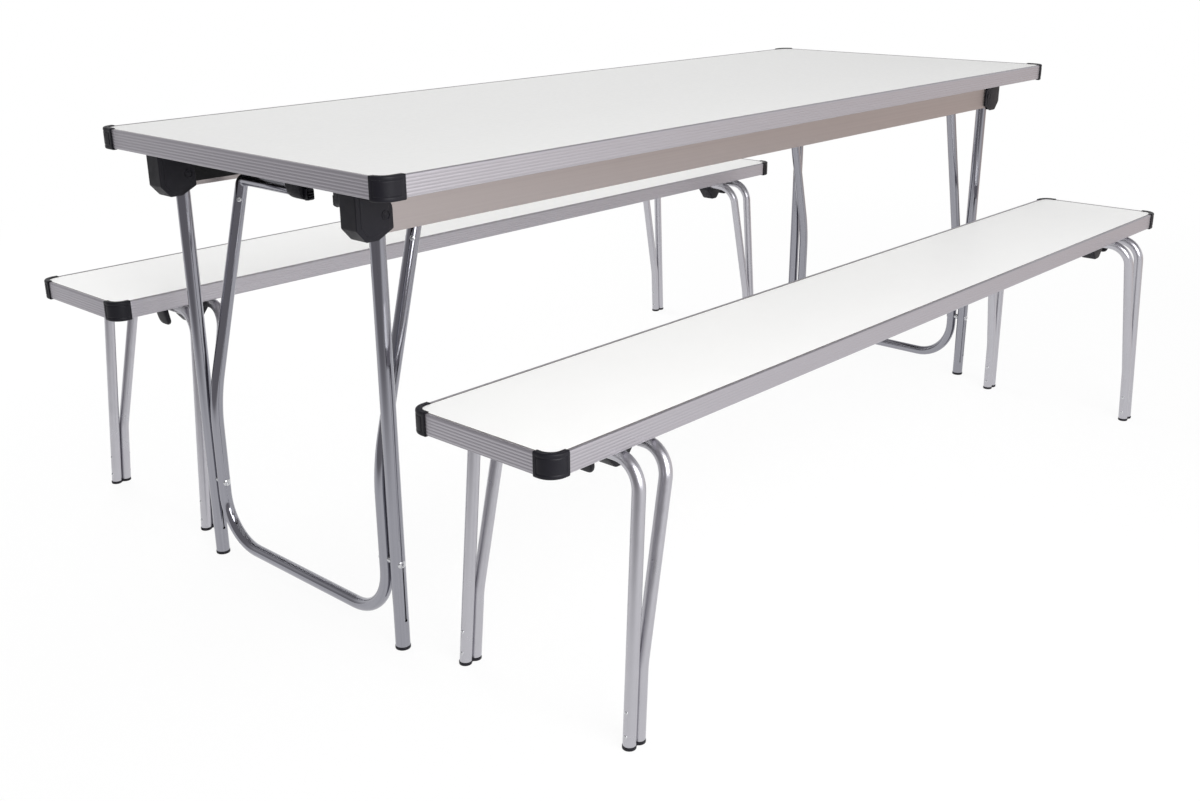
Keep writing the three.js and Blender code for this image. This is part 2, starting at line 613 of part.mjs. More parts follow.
// Side outline of a saddle's block: a boat-shaped body below the hinge bar, whose outboard side is
// an arc inside the path of the swinging outboard bar, and a claw that curves down beyond that path
function saddleOutline() {
  const barRoom = BENCH_TUBE_RADIUS + CLEARANCE;
  const swing = OUTBOARD_BAR_X - INBOARD_BAR_X;
  const reach = swing - barRoom - SADDLE_SWING_GAP;
  const clawInner = swing + barRoom + SADDLE_SWING_GAP;
  const clawOuter = clawInner + SADDLE_CLAW_WALL;
  const inboard = INBOARD_BAR_X - SADDLE_INBOARD_REACH;
  const arcStart = -Math.asin(SADDLE_DEPTH / reach);
  const shape = new THREE.Shape();
  shape.moveTo(INBOARD_BAR_X + clawOuter, BENCH_SEATING);
  shape.lineTo(inboard, BENCH_SEATING);
  shape.lineTo(inboard, BENCH_BAR_Z - SADDLE_SIDE_DROP);
  shape.lineTo(INBOARD_BAR_X - SADDLE_BOTTOM_INBOARD_REACH, BENCH_BAR_Z - SADDLE_DEPTH);
  shape.absarc(INBOARD_BAR_X, BENCH_BAR_Z, reach, arcStart, 0, false);
  shape.lineTo(INBOARD_BAR_X + reach, BENCH_BAR_Z + barRoom);
  shape.lineTo(INBOARD_BAR_X + clawInner, BENCH_BAR_Z + barRoom);
  shape.absarc(INBOARD_BAR_X, BENCH_BAR_Z, clawInner, 0, -SADDLE_CLAW_SWEEP, true);
  shape.absarc(INBOARD_BAR_X, BENCH_BAR_Z, clawOuter, -SADDLE_CLAW_SWEEP, 0, false);
  return shape;
}

// Saddle: two blocks bored for the inboard crossbar, joined by a strip between the crossbars
function saddle() {
  const inner = SADDLE_BLOCK_OFFSET - SADDLE_BLOCK_LENGTH / 2;
  const outer = SADDLE_BLOCK_OFFSET + SADDLE_BLOCK_LENGTH / 2;
  const blocks = [-1, 1].map((sign) => sideways(saddleOutline(), spanOn(sign, inner, outer)));
  const middle = (INBOARD_BAR_X + OUTBOARD_BAR_X) / 2;
  const stripLow = [middle - SADDLE_STRIP_WIDTH / 2, -outer, BENCH_SEATING - SADDLE_STRIP_THICKNESS];
  const strip = box(stripLow, [middle + SADDLE_STRIP_WIDTH / 2, outer, BENCH_SEATING]);
  const boreSpan = [-outer - OVERCUT, outer + OVERCUT];
  const bore = pinAlongY(INBOARD_BAR_X, BENCH_BAR_Z, boreFor(BENCH_TUBE_RADIUS), boreSpan);
  return joined(...blocks, strip).subtract(bore);
}

// In an end's own frame +y is the far side at the right end and the near side at the left end
const ENDS = [
  { end: "right", turn: 0, sides: { near: -1, far: 1 } },
  { end: "left", turn: Math.PI, sides: { near: 1, far: -1 } },
];

function tableEnd({ end, turn, sides }) {
  const group = new THREE.Group();
  for (const [side, sign] of Object.entries(sides)) {
    const place = `${side}_${end}`;
    group.add(named(`housing_${place}`, housing(sign * LEG_Y), BLACK_PLASTIC));
    group.add(named(`leg_${place}`, leg(sign * LEG_Y), CHROME));
    group.add(named(`foot_${place}`, foot(sign * LEG_Y), BLACK_PLASTIC));
    group.add(named(`release_tab_${place}`, releaseTab(sign), BLACK_PLASTIC));
  }
  group.add(named(`brace_${end}`, brace(), CHROME));
  group.add(named(`pivot_bracket_${end}`, pivotBracket(), BLACK_PLASTIC));
  group.rotation.z = turn;
  return group;
}

function table() {
  const size = [TABLE_LENGTH, TABLE_WIDTH, TABLE_HEIGHT];
  const makeCap = () => cornerCap(TABLE_HEIGHT, TABLE_CAP_LONG_LEG, TABLE_CAP_SHORT_LEG);
  const nearRail = named("rail_near", rail(), ANODISED);
  nearRail.rotation.z = Math.PI;
  const group = new THREE.Group();
  group.add(named("table_board", board(...size), LAMINATE));
  group.add(named("table_edging", edging(...size), ANODISED));
  group.add(...cornerCaps("table", TABLE_LENGTH, TABLE_WIDTH, makeCap));
  group.add(named("rail_far", rail(), ANODISED), nearRail);
  group.add(...ENDS.map(tableEnd));
  return group;
}

function benchEnd(bench, { end, turn, sides }) {
  const group = new THREE.Group();
  group.add(named(`${bench}_outboard_hoop_${end}`, outboardHoop(), SATIN_STEEL));
  group.add(named(`${bench}_inboard_hoop_${end}`, inboardHoop(), SATIN_STEEL));
  group.add(named(`${bench}_saddle_${end}`, saddle(), BLACK_PLASTIC));
  for (const [side, sign] of Object.entries(sides)) {
    group.add(named(`${bench}_foot_${side}_${end}`, benchFoot(sign), BLACK_PLASTIC));
  }
  group.rotation.z = turn;
  return group;
}

function benchAt(name, y) {
  const size = [BENCH_LENGTH, BENCH_WIDTH, BENCH_HEIGHT];
  const makeCap = () => cornerCap(BENCH_HEIGHT, BENCH_CAP_LEG, BENCH_CAP_LEG);
  const group = new THREE.Group();
  group.add(named(`${name}_seat`, board(...size), LAMINATE));
  group.add(named(`${name}_edging`, edging(...size), ANODISED));
  group.add(...cornerCaps(name, BENCH_LENGTH, BENCH_WIDTH, makeCap));
  group.add(...ENDS.map((end) => benchEnd(name, end)));
  group.position.y = y;
  return group;
}

const furniture = new THREE.Group();
furniture.add(table(), benchAt("near_bench", -BENCH_SETOUT), benchAt("far_bench", BENCH_SETOUT));

export default furniture;
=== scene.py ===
"""Folding dining table with a pair of folding benches: the surfaces that are seen.

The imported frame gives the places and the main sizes. Each operator makes one kind of piece round it,
in metres, from rings of points that are worked out as whole arrays and joined into closed surfaces.
The pieces of an end are drawn at the right end, where +X points outboard, and given half a turn
about the table's middle for the left end.
"""

import json
import math

import bpy
import numpy as np
from bpy.props import FloatProperty, FloatVectorProperty, IntProperty, PointerProperty
from mathutils import Euler, Matrix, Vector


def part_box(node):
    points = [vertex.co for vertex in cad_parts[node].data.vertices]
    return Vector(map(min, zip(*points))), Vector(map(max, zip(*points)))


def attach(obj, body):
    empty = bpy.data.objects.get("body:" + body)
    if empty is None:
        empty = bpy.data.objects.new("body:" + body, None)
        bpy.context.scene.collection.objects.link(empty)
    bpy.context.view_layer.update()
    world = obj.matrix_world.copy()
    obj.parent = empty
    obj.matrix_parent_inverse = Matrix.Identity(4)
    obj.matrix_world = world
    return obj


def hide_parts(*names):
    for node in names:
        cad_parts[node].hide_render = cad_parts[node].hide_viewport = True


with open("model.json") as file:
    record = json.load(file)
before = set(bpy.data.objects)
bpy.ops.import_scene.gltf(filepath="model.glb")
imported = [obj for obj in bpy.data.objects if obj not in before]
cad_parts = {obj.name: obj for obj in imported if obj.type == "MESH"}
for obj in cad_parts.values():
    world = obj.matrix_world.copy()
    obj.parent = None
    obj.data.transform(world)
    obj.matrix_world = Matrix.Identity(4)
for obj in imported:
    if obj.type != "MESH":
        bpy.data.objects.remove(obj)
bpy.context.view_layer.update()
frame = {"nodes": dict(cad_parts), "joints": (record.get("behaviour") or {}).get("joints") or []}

bl_info = {
    "name": "Folding dining set",
    "version": (1, 0, 0),
    "blender": (4, 5, 0),
    "location": "3D View > Sidebar > Dining set",
    "description": "Makes the visible surfaces of a folding table and its two benches",
    "category": "Object",
}

MM = 0.001

# The two ends, the two long sides and the three tops, as the frame names them
ENDS = {"right": 1, "left": -1}
SIDES = {"near": -1, "far": 1}
TOPS = {"table": "table_top", "near_bench": "near_bench", "far_bench": "far_bench"}
BENCHES = ("near_bench", "far_bench")

# Corners of a top, each with the cosine and sine of its quarter turns from the first
CORNERS = {"near_left": (1, 0), "near_right": (0, 1), "far_right": (-1, 0), "far_left": (0, -1)}

# Fineness of round shapes
TUBE_SIDES = 40
HEAD_SIDES = 28
CORNER_STEPS = 6
RIM_STEPS = 5
BEND_STEPS = 14
SHARP_ANGLE = math.radians(32)

X_AXIS = np.array((1.0, 0.0, 0.0))
WHITE = (1, 1, 1, 1)

# Rings of a plate that lie closer than this are one ring, and no divisor is smaller than the second
SAME_LEVEL = 1e-7
TINY = 1e-6

# Wall of a corner cap, and the pan heads under the board
CAP_WALL = 1.9 * MM
SCREW_RADIUS = 4.2 * MM
SCREW_HEIGHT = 2.2 * MM

# Name of the attribute that holds a tube's grain
TUBE_GRAIN = "along_tube"

# Colour sockets of a Mix node by number, because they share their names with its other sockets
MIX_A = 6
MIX_B = 7
MIX_RESULT = 2

# Noise seldom leaves this range
NOISE_LOW = 0.3
NOISE_HIGH = 0.7

# What gloss mirrors of the room: a dim side with its heading, and a floor that turns warm towards +X
ROOM_SIDE = (-0.97, -0.25, 0.0)
ROOM_DIM = "989699"
ROOM_WARM = "EDE0D9"

# Where these tones start and are full: along a direction in the room, or in metres on the floor
SIDE_SPAN = (-0.1, 0.6)
CEILING_SPAN = (0.2, 0.75)
FLOOR_DIM_SPAN = (1.25, 2.4)
FLOOR_WARM_SPAN = (0.5, 3.5)

# How white the floor is to the eye near the table, and the distances between which it turns wholly white
FLOOR_WHITE = 0.92
FLOOR_WHITE_SPAN = (1.4, 3.2)

# Soft boxes: place, side and the point that they face, in metres
KEY_PLACE = (-1.0, -2.6, 1.6)
KEY_SIDE = 1.9
FILL_PLACE = (0.3, 2.9, 1.7)
FILL_SIDE = 2.1
LIT_POINT = (0, 0, 0.5)

# Width of the camera's sensor in millimetres
SENSOR_WIDTH = 36


def linear(code):
    """sRGB hex colour as linear red, green, blue and alpha."""
    channels = np.array([int(code[i : i + 2], 16) for i in (0, 2, 4)]) / 255
    low = channels / 12.92
    high = ((channels + 0.055) / 1.055) ** 2.4
    return (*np.where(channels <= 0.04045, low, high).tolist(), 1.0)


def length(name, description, millimetres):
    """Length property, stored in metres, with its default given in millimetres."""
    return FloatProperty(name=name, description=description, default=millimetres * MM, unit="LENGTH")


def degrees(name, description, value):
    """Angle property, stored in radians, with its default given in degrees."""
    return FloatProperty(name=name, description=description, default=math.radians(value), subtype="ANGLE")


def colour(name, description, code):
    """Colour property with its default given as an sRGB hex value."""
    return FloatVectorProperty(
        name=name, description=description, subtype="COLOR", size=4, min=0, max=1, default=linear(code)
    )


class TrimSettings(bpy.types.PropertyGroup):
    """Edging and corner caps of the tops"""

    rib_count: IntProperty(name="Ribs", description="Ribs along the edging's face", default=6)
    rib_depth: length("Rib depth", "Depth of the grooves between the ribs", 0.36)
    edge_round: length("Edge rounding", "Radius of the edging's outer edges", 1.6)
    wall: length("Wall", "Thickness of the edging's face", 2)
    lip_reach: length("Lip reach", "How far the edging's lips lap the board", 5)
    lip_thickness: length("Lip thickness", "Thickness of the edging's lips", 1.5)
    corner_radius: length("Corner radius", "Radius of the edging's corners in plan", 22.1)
    # The dark joint is painted shadow of the thin gap between lip and laminate, drawn wider than that gap
    joint_shadow_width: length("Joint width", "Width of the dark joint between lip and laminate", 1.1)
    cap_lip: length("Cap lip", "How far a corner cap laps the laminate", 7.5)
    cap_round: length("Cap rounding", "Radius of a corner cap's outer edges", 2.6)
    cap_long_leg: length("Table cap long leg", "Length of a table cap's longer leg", 40)
    cap_short_leg: length("Table cap short leg", "Length of a table cap's shorter leg", 25)
    bench_cap_leg: length("Bench cap leg", "Length of each leg of a bench cap", 31.5)
    panel_margin: length("Panel margin", "From a cap's rim to the groove round its panel", 6)
    panel_groove: length("Panel groove", "Depth of the groove round a cap's panel", 0.7)


class TableFrameSettings(bpy.types.PropertyGroup):
    """Rails, housings, legs, braces and brackets of the table"""

    rail_wall: length("Rail wall", "Thickness of the side rails", 1)
    # These strips are black sheets that paint the shade on each rail's inner face, above a bare strip that
    # stays lit
    painted_shade_thickness: length("Felt thickness", "Anti-rattle strip inside a rail", 0.4)
    painted_shade_rise: length("Felt rise", "Bare strip left below the felt", 6.5)
    painted_shade_start: length("Felt start", "From the middle to the felt near a rail's end", 450)
    housing_wall: length("Housing wall", "Thickness of a leg housing", 3)
    shoulder_radius: length("Shoulder radius", "Round inboard shoulder of a housing", 15)
    shoulder_drop: length("Shoulder drop", "From the board down to the shoulder", 17.7)
    pivot_cap: length("Pivot cap", "Diameter of the round cap over a leg's pivot", 14)
    leg_wall: length("Leg wall", "Thickness of a leg's tube", 1.5)
    slot_top: length("Slot top", "Height of the slot's upper end", 138)
    slot_bottom: length("Slot bottom", "Height of the slot's lower end", 48)
    slot_width: length("Slot width", "Width of the slot in a leg", 1.7)
    slot_end: length("Slot end", "Diameter of the round hole at the slot's foot", 4.4)
    brace_diameter: length("Brace diameter", "Diameter of a brace's tube", 20)
    brace_half_width: length("Brace half width", "From the middle to a brace's upright", 210)
    brace_stub_end: length("Stub end", "From the middle to the end of a brace's stub", 53)
    brace_corner: length("Brace corner", "Radius of the bend below the board", 12)
    brace_kink_height: length("Kink height", "Height at which the uprights straighten", 280)
    brace_kink_radius: length("Kink radius", "Radius of that easy bend", 350)
    brace_bend: length("Brace bend", "Radius of the bends into the stretcher", 80)
    stretcher_height: length("Stretcher height", "Height of a brace's low cross bar", 37)
    bolt_head: length("Bolt head", "Diameter of the domed heads on the legs", 14)
    rivet_head: length("Rivet head", "Diameter of the rivets on the braces", 8)
    rivet_drop: length("Rivet drop", "From a brace's pivot down to its upper rivet", 33)
    block_radius: length("Block radius", "Round underside of a pivot block", 13)
    block_inner: length("Block inner end", "From the middle to a pivot block's inner end", 41)
    block_outer: length("Block outer end", "From the middle to a pivot block's outer end", 76)
    tab_width: length("Tab width", "Width of a release tab", 11)
    tab_wave: length("Tab wave", "Height of the ribs on a release tab", 1.2)
    tab_ribs: IntProperty(name="Tab ribs", description="Ribs on a release tab", default=4)


class BenchFrameSettings(bpy.types.PropertyGroup):
    """End frames and saddles of the benches"""

    tube_diameter: length("Tube diameter", "Diameter of the hoops' tube", 18)
    pair_pitch: length("Pair pitch", "Between the axes of two tubes on one foot", 18.6)
    foot_spread: length("Foot spread", "Between the two feet of a frame", 312)
    hoop_spread: length("Hoop spread", "Between a hoop's corners under the seat", 292)
    outboard_inset: length("Outboard bar inset", "From the seat's end to the outboard bar", 133)
    foot_inset: length("Foot inset", "From the seat's end to the outboard tube's foot", 103)
    bend_radius: length("Bend radius", "Radius of a hoop's corners", 40)
    kink_height: length("Kink height", "Height at which the inboard tube leaves its pair", 110)
    kink_radius: length("Kink radius", "Radius of that bend", 120)
    foot_height: length("Foot height", "Thickness of the plastic feet", 5)
    rivet_low: length("Lower rivet", "Height of the lower rivet above the floor", 19)
    rivet_high: length("Upper rivet", "Height of the upper rivet above the floor", 53)
    rivet_head: length("Rivet head", "Diameter of the rivets through a pair of tubes", 6)
    boat_inner: length("Boat inner end", "From the seat's middle to a saddle block's inner end", 49)
    boat_outer: length("Boat outer end", "From the seat's middle to a saddle block's outer end", 79)
    boat_reach: length("Boat reach", "From the hinge to a saddle block's outboard side", 45)
    claw_wall: length("Claw wall", "Thickness of a saddle's claw", 8)
    claw_sweep: degrees("Claw sweep", "How far a saddle's claw curves round the hinge", 24)


class FinishSettings(bpy.types.PropertyGroup):
    """Colours of the finishes"""

    # One white laminate in two tones: painted shade on the table and painted light on the seats, for the
    # light that each gets
    table_laminate: colour("Table laminate", "White laminate of the table", "E2E2E1")
    seat_laminate: colour("Seat laminate", "White laminate of the benches", "FBFBFA")
    edging: colour("Edging", "Anodised aluminium of the edging", "BAB7BD")
    rail: colour("Rail", "Mill aluminium of the rails", "AEA6A5")
    chrome: colour("Chrome", "Chrome plate of the table's tubes", "9D9DA5")
    satin: colour("Satin tube", "Satin plate of the benches' tubes", "BBBAC0")
    plastic: colour("Plastic", "Black moulded plastic", "15141C")
    zinc: colour("Zinc", "Plated steel of bolts and rivets", "CFD0D3")
    bore: colour("Bore", "Unplated inside of a leg", "55524F")
    # Black of the strips that paint the shade on the rails' inner faces
    felt: colour("Felt", "Anti-rattle felt", "1B1B1D")
    # The joint's dark colour is painted shadow of the gap between lip and laminate, on a sealant bead
    joint: colour("Joint", "Adhesive joint round the laminate", "6A635E")
    floor: colour("Floor", "Studio floor", "F2F2F2")


class StageSettings(bpy.types.PropertyGroup):
    """Camera and light"""

    eye: FloatVectorProperty(
        name="Eye",
        description="Place of the camera",
        subtype="TRANSLATION",
        default=(-1.9008, -1.597, 0.992),
    )
    yaw: degrees("Yaw", "Heading from +X", 42.38)
    pitch: degrees("Pitch", "Look down", 19.71)
    roll: degrees("Roll", "Camera tilt", -0.33)
    lens: FloatProperty(name="Lens", description="Focal length in mm on a 36 mm sensor", default=39.4)
    key_power: FloatProperty(name="Key", description="Main soft box", unit="POWER", default=70)
    fill_power: FloatProperty(name="Fill", description="Second soft box", unit="POWER", default=62)
    ambient: FloatProperty(name="Ambient", description="Light from the white room", default=0.62)
    floor_size: FloatProperty(name="Floor", description="Side of the floor", unit="LENGTH", default=90)


class DiningSettings(bpy.types.PropertyGroup):
    """All settings of the dining set"""

    trim: PointerProperty(type=TrimSettings)
    table: PointerProperty(type=TableFrameSettings)
    bench: PointerProperty(type=BenchFrameSettings)
    finish: PointerProperty(type=FinishSettings)
    stage: PointerProperty(type=StageSettings)


# Surfaces


def unit(vectors):
    """Vectors scaled to length one."""
    return vectors / np.linalg.norm(vectors, axis=-1, keepdims=True)


def corners_of(node):
    """Lowest and highest corner of a frame node as arrays."""
    low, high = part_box(node)
    return np.array(low), np.array(high)


def hinge_of(name):
    """Place of a joint in x and z."""
    joint = next(joint for joint in frame["joints"] if joint["name"] == name)
    return joint["pos_m"][0], joint["pos_m"][2]


def middle_of(bench):
    """Middle of a bench on the floor."""
    return np.mean(corners_of(f"{bench}_edging"), axis=0) * (1, 1, 0)


def rectangle(low, high):
    """Four corners in plan, anticlockwise from the lowest."""
    return np.array(((low[0], low[1]), (high[0], low[1]), (high[0], high[1]), (low[0], high[1])))


def loft(rings, looped=False):
    """Closed surface through rings of points.

    Point j of ring i is a vertex, and each quad joins it to its neighbours on this ring and the next.
    A row of rings ends in two flat polygons, or runs round into itself. The faces are turned outwards
    if the enclosed volume, a sum of a . (b x c) over the triangles, comes out negative.
    """
    rows, columns = rings.shape[:2]
    index = np.arange(rows * columns).reshape(rows, columns)
    here = index if looped else index[:-1]
    ahead = np.roll(index, -1, axis=0) if looped else index[1:]
    quads = np.stack((here, np.roll(here, -1, 1), np.roll(ahead, -1, 1), ahead), axis=-1).reshape(-1, 4)
    ends = [] if looped else [index[:1, ::-1], index[-1:]]
    points = rings.reshape(-1, 3)
    fans = [np.column_stack((np.full(columns - 2, end[0]), end[1:-1], end[2:])) for (end,) in ends]
    triangles = np.concatenate((quads[:, (0, 1, 2)], quads[:, (0, 2, 3)], *fans))
    a, b, c = np.moveaxis(points[triangles], 1, 0)
    order = -1 if np.sum(a * np.cross(b, c)) < 0 else 1
    return points, [faces[:, ::order] for faces in (quads, *ends)]


def joined(surfaces):
    """Several surfaces, each as points and arrays of faces, as one set of points and faces."""
    points = [part for part, _ in surfaces]
    starts = np.cumsum([0] + [len(part) for part in points])
    faces = [
        face
        for start, (_, groups) in zip(starts, surfaces)
        for group in groups
        for face in (group + start).tolist()
    ]
    return np.concatenate(points), faces


def mark_open_edges(mesh):
    """Edges with one face are made sharp, so that a wall added by a modifier has a crisp rim."""
    used = np.zeros(len(mesh.loops), dtype=np.int32)
    mesh.loops.foreach_get("edge_index", used)
    sharp = np.zeros(len(mesh.edges), dtype=bool)
    mesh.edges.foreach_get("use_edge_sharp", sharp)
    is_open = np.bincount(used, minlength=len(mesh.edges)) == 1
    mesh.edges.foreach_set("use_edge_sharp", sharp | is_open)


def add_piece(name, surfaces, finish, body, node=None, grain=None):
    """Object made of surfaces that rides on a body and may stand for a frame node.

    A tube's grain gives each point's place on its skin, which the finish follows.
    """
    points, faces = joined(surfaces)
    mesh = bpy.data.meshes.new(name)
    mesh.from_pydata(points.tolist(), [], faces)
    mesh.polygons.foreach_set("use_smooth", np.ones(len(faces), dtype=bool))
    mesh.set_sharp_from_angle(angle=SHARP_ANGLE)
    mark_open_edges(mesh)
    mesh.materials.append(finish_of(finish))
    if grain is not None:
        attribute = mesh.attributes.new(TUBE_GRAIN, "FLOAT_VECTOR", "POINT")
        attribute.data.foreach_set("vector", grain.ravel())
    piece = bpy.data.objects.new(name, mesh)
    bpy.context.scene.collection.objects.link(piece)
    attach(piece, body)
    if node:
        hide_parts(node)
    return piece


def lofts(parts, end=1, side=1, shift=(0, 0, 0)):
    """Closed surface of each part's rings, which are carried from the right end to an end and a side."""
    signs = np.array((end, end * side, 1))
    return [loft(rings * signs + np.asarray(shift)) for rings in parts]


def rounded(corners, radii):
    """Outline with an arc at each corner.

    The arc's centre lies on the corner's bisector, r / sin(half angle) away, and its points are the
    spherical mean of the two radii that meet the sides.
    """
    corner = np.asarray(corners, dtype=float)
    radius = np.broadcast_to(np.asarray(radii, dtype=float), len(corner))[:, None]
    back = unit(np.roll(corner, 1, axis=0) - corner)
    ahead = unit(np.roll(corner, -1, axis=0) - corner)
    half = np.arccos(np.clip(np.sum(back * ahead, axis=1), -1, 1))[:, None] / 2
    centre = corner + unit(back + ahead) * radius / np.sin(half)
    first = corner + back * radius / np.tan(half) - centre
    last = corner + ahead * radius / np.tan(half) - centre
    turn = np.pi - 2 * half
    share = np.linspace(0, 1, CORNER_STEPS)
    weights = np.stack((np.sin((1 - share) * turn), np.sin(share * turn))) / np.sin(turn)
    arcs = first[:, None] * weights[0][..., None] + last[:, None] * weights[1][..., None]
    return (centre[:, None] + arcs).reshape(-1, 2)


def circle(radius, sides=HEAD_SIDES, centre=(0, 0)):
    """Round outline: R cos a and R sin a about a centre."""
    angle = np.linspace(0, 2 * np.pi, sides, endpoint=False)
    return radius * np.column_stack((np.cos(angle), np.sin(angle))) + np.asarray(centre)


def drawn_in(outline, distance):
    """Outline moved inwards: each point goes along the mitre of the normals of its two sides."""
    ahead = unit(np.roll(outline, -1, axis=0) - outline)
    after = np.column_stack((ahead[:, 1], -ahead[:, 0]))
    area = np.sum(outline[:, 0] * np.roll(outline[:, 1], -1) - outline[:, 1] * np.roll(outline[:, 0], -1))
    after *= np.sign(area)
    before = np.roll(after, 1, axis=0)
    mitre = (before + after) / (1 + np.sum(before * after, axis=1, keepdims=True))
    return outline - mitre * distance


def slab(outline, low, high, low_round=0.0, high_round=0.0):
    """Rings of a plate with rounded rims, as first axis, second axis and height.

    On a rim of radius r the outline is drawn in by r - r sin a at r - r cos a from the face.
    """
    angle = np.linspace(0, np.pi / 2, RIM_STEPS)
    inset = 1 - np.sin(angle)
    rise = 1 - np.cos(angle)
    insets = np.concatenate((low_round * inset, high_round * inset[::-1]))
    levels = np.concatenate((low + low_round * rise, high - high_round * rise[::-1]))
    keep = np.concatenate(([True], np.diff(levels) > SAME_LEVEL))
    plans = np.stack([drawn_in(outline, distance) for distance in insets])
    heights = np.broadcast_to(levels[:, None, None], (*plans.shape[:2], 1))
    return np.concatenate((plans, heights), axis=-1)[keep]


def along_y(rings):
    """Outline drawn in x and z with its height along y."""
    return rings[..., (0, 2, 1)]


def along_x(rings):
    """Outline drawn in y and z with its height along x."""
    return rings[..., (2, 0, 1)]


def head(radius, height, place, facing, sink=0.6 * MM):
    """Rings of a domed head: circles of radius R cos a at height H sin a, on a short sunk skirt.

    The dome ends at a third of its radius, where a punched dimple drops by two fifths of its height.
    """
    dome_end = 0.39 * np.pi
    dimple_radii = np.array((0.29, 0.2))
    dimple_levels = np.array((0.85, 0.55))
    # A direction that no head faces
    askew = (0.31, 0.47, 0.83)
    angle = np.linspace(0, dome_end, RIM_STEPS + 2)
    radii = np.concatenate(([radius], radius * np.cos(angle), radius * dimple_radii))
    levels = np.concatenate(([-sink], height * np.sin(angle), height * dimple_levels))
    facing = unit(np.asarray(facing, dtype=float))
    across = unit(np.cross(facing, askew))
    axes = np.stack((across, np.cross(facing, across)))
    flat = circle(1.0) @ axes
    return np.asarray(place) + radii[:, None, None] * flat + levels[:, None, None] * facing


def bent_path(corners, radii):
    """Centre line of a bent tube and its directions.

    A bend leaves its first run at R tan(turn / 2) before the corner, and follows R sin a along that run
    and R - R cos a across it.
    """
    corners = np.asarray(corners, dtype=float)
    runs = unit(np.diff(corners, axis=0))
    points = [corners[:1]]
    directions = [runs[:1]]
    for corner, arriving, leaving, radius in zip(corners[1:-1], runs[:-1], runs[1:], radii):
        turn = np.arccos(np.clip(arriving @ leaving, -1, 1))
        inward = unit(leaving - (arriving @ leaving) * arriving)
        angle = np.linspace(0, turn, BEND_STEPS)[:, None]
        start = corner - arriving * radius * np.tan(turn / 2)
        points.append(start + radius * (np.sin(angle) * arriving + (1 - np.cos(angle)) * inward))
        directions.append(np.cos(angle) * arriving + np.sin(angle) * inward)
    return np.concatenate((*points, corners[-1:])), np.concatenate((*directions, runs[-1:]))


def arch(half, radii):
    """Bent path of a tube that is alike on both sides, from a far half that starts at its free end."""
    near = [np.multiply(corner, (1, -1, 1)) for corner in half]
    return bent_path([*near, *half[::-1]], [*radii, *radii[::-1]])


def tube(path, directions, radius):
    """Rings of a round tube: R cos a and R sin a on two axes square to the centre line."""
    side = unit(np.cross(directions, X_AXIS))
    other = np.cross(side, directions)
    angle = np.linspace(0, 2 * np.pi, TUBE_SIDES, endpoint=False)
    ring = np.cos(angle)[:, None] * side[:, None] + np.sin(angle)[:, None] * other[:, None]
    return path[:, None] + radius * ring


def tube_grain(rings):
    """Place on a tube's skin for each point: the length along the tube, then R cos a and R sin a."""
    centre = rings.mean(axis=1)
    steps = np.linalg.norm(np.diff(centre, axis=0), axis=1)
    run = np.concatenate(([0.0], np.cumsum(steps)))[:, None, None]
    flat = circle(np.linalg.norm(rings[0, 0] - centre[0]), rings.shape[1])[None]
    shape = rings.shape[:2]
    return np.concatenate((np.broadcast_to(run, (*shape, 1)), np.broadcast_to(flat, (*shape, 2))), axis=-1)


def top_rings(top, radius, profile, level):
    """Rings of a profile carried round a top.

    The path is a rounded rectangle on the edging's outer face. At a corner the profile turns about the
    corner's centre: centre + (R + outward) (cos a, sin a), and its second axis is height over a level.
    """
    low, high = corners_of(f"{top}_edging")
    steps = 2 * CORNER_STEPS
    angle = np.concatenate([np.linspace(q, q + 1, steps) for q in range(4)]) * np.pi / 2
    centre_x = np.repeat((high[0] - radius, low[0] + radius, low[0] + radius, high[0] - radius), steps)
    centre_y = np.repeat((high[1] - radius, high[1] - radius, low[1] + radius, low[1] + radius), steps)
    reach = radius + profile[:, 0]
    x = centre_x[:, None] + reach * np.cos(angle)[:, None]
    y = centre_y[:, None] + reach * np.sin(angle)[:, None]
    z = np.broadcast_to(level + profile[:, 1], x.shape)
    return np.stack((x, y, z), axis=-1)


# Finishes


def add_node(tree, kind, settings=None, inputs=None):
    """Node of a kind with its settings, and with each input set to a value or linked to a socket."""
    node = tree.nodes.new(kind)
    for key, value in (settings or {}).items():
        setattr(node, key, value)
    for key, value in (inputs or {}).items():
        if isinstance(value, bpy.types.NodeSocket):
            tree.links.new(value, node.inputs[key])
        else:
            node.inputs[key].default_value = value
    return node


def pattern(tree, grain, detail, stretch=(1, 1, 1), attribute=None):
    """Noise with grains of a real size in metres, drawn out along an axis.

    It lies on Object coordinates, or on an attribute that follows the piece's surface.
    """
    if attribute:
        place = add_node(tree, "ShaderNodeAttribute", {"attribute_name": attribute}).outputs["Vector"]
    else:
        place = add_node(tree, "ShaderNodeTexCoord").outputs["Object"]
    scale = [1 / (grain * factor) for factor in stretch]
    mapped = add_node(tree, "ShaderNodeMapping", inputs={"Vector": place, "Scale": scale}).outputs["Vector"]
    noise = add_node(tree, "ShaderNodeTexNoise", inputs={"Vector": mapped, "Scale": 1.0, "Detail": detail})
    return noise.outputs["Fac"]


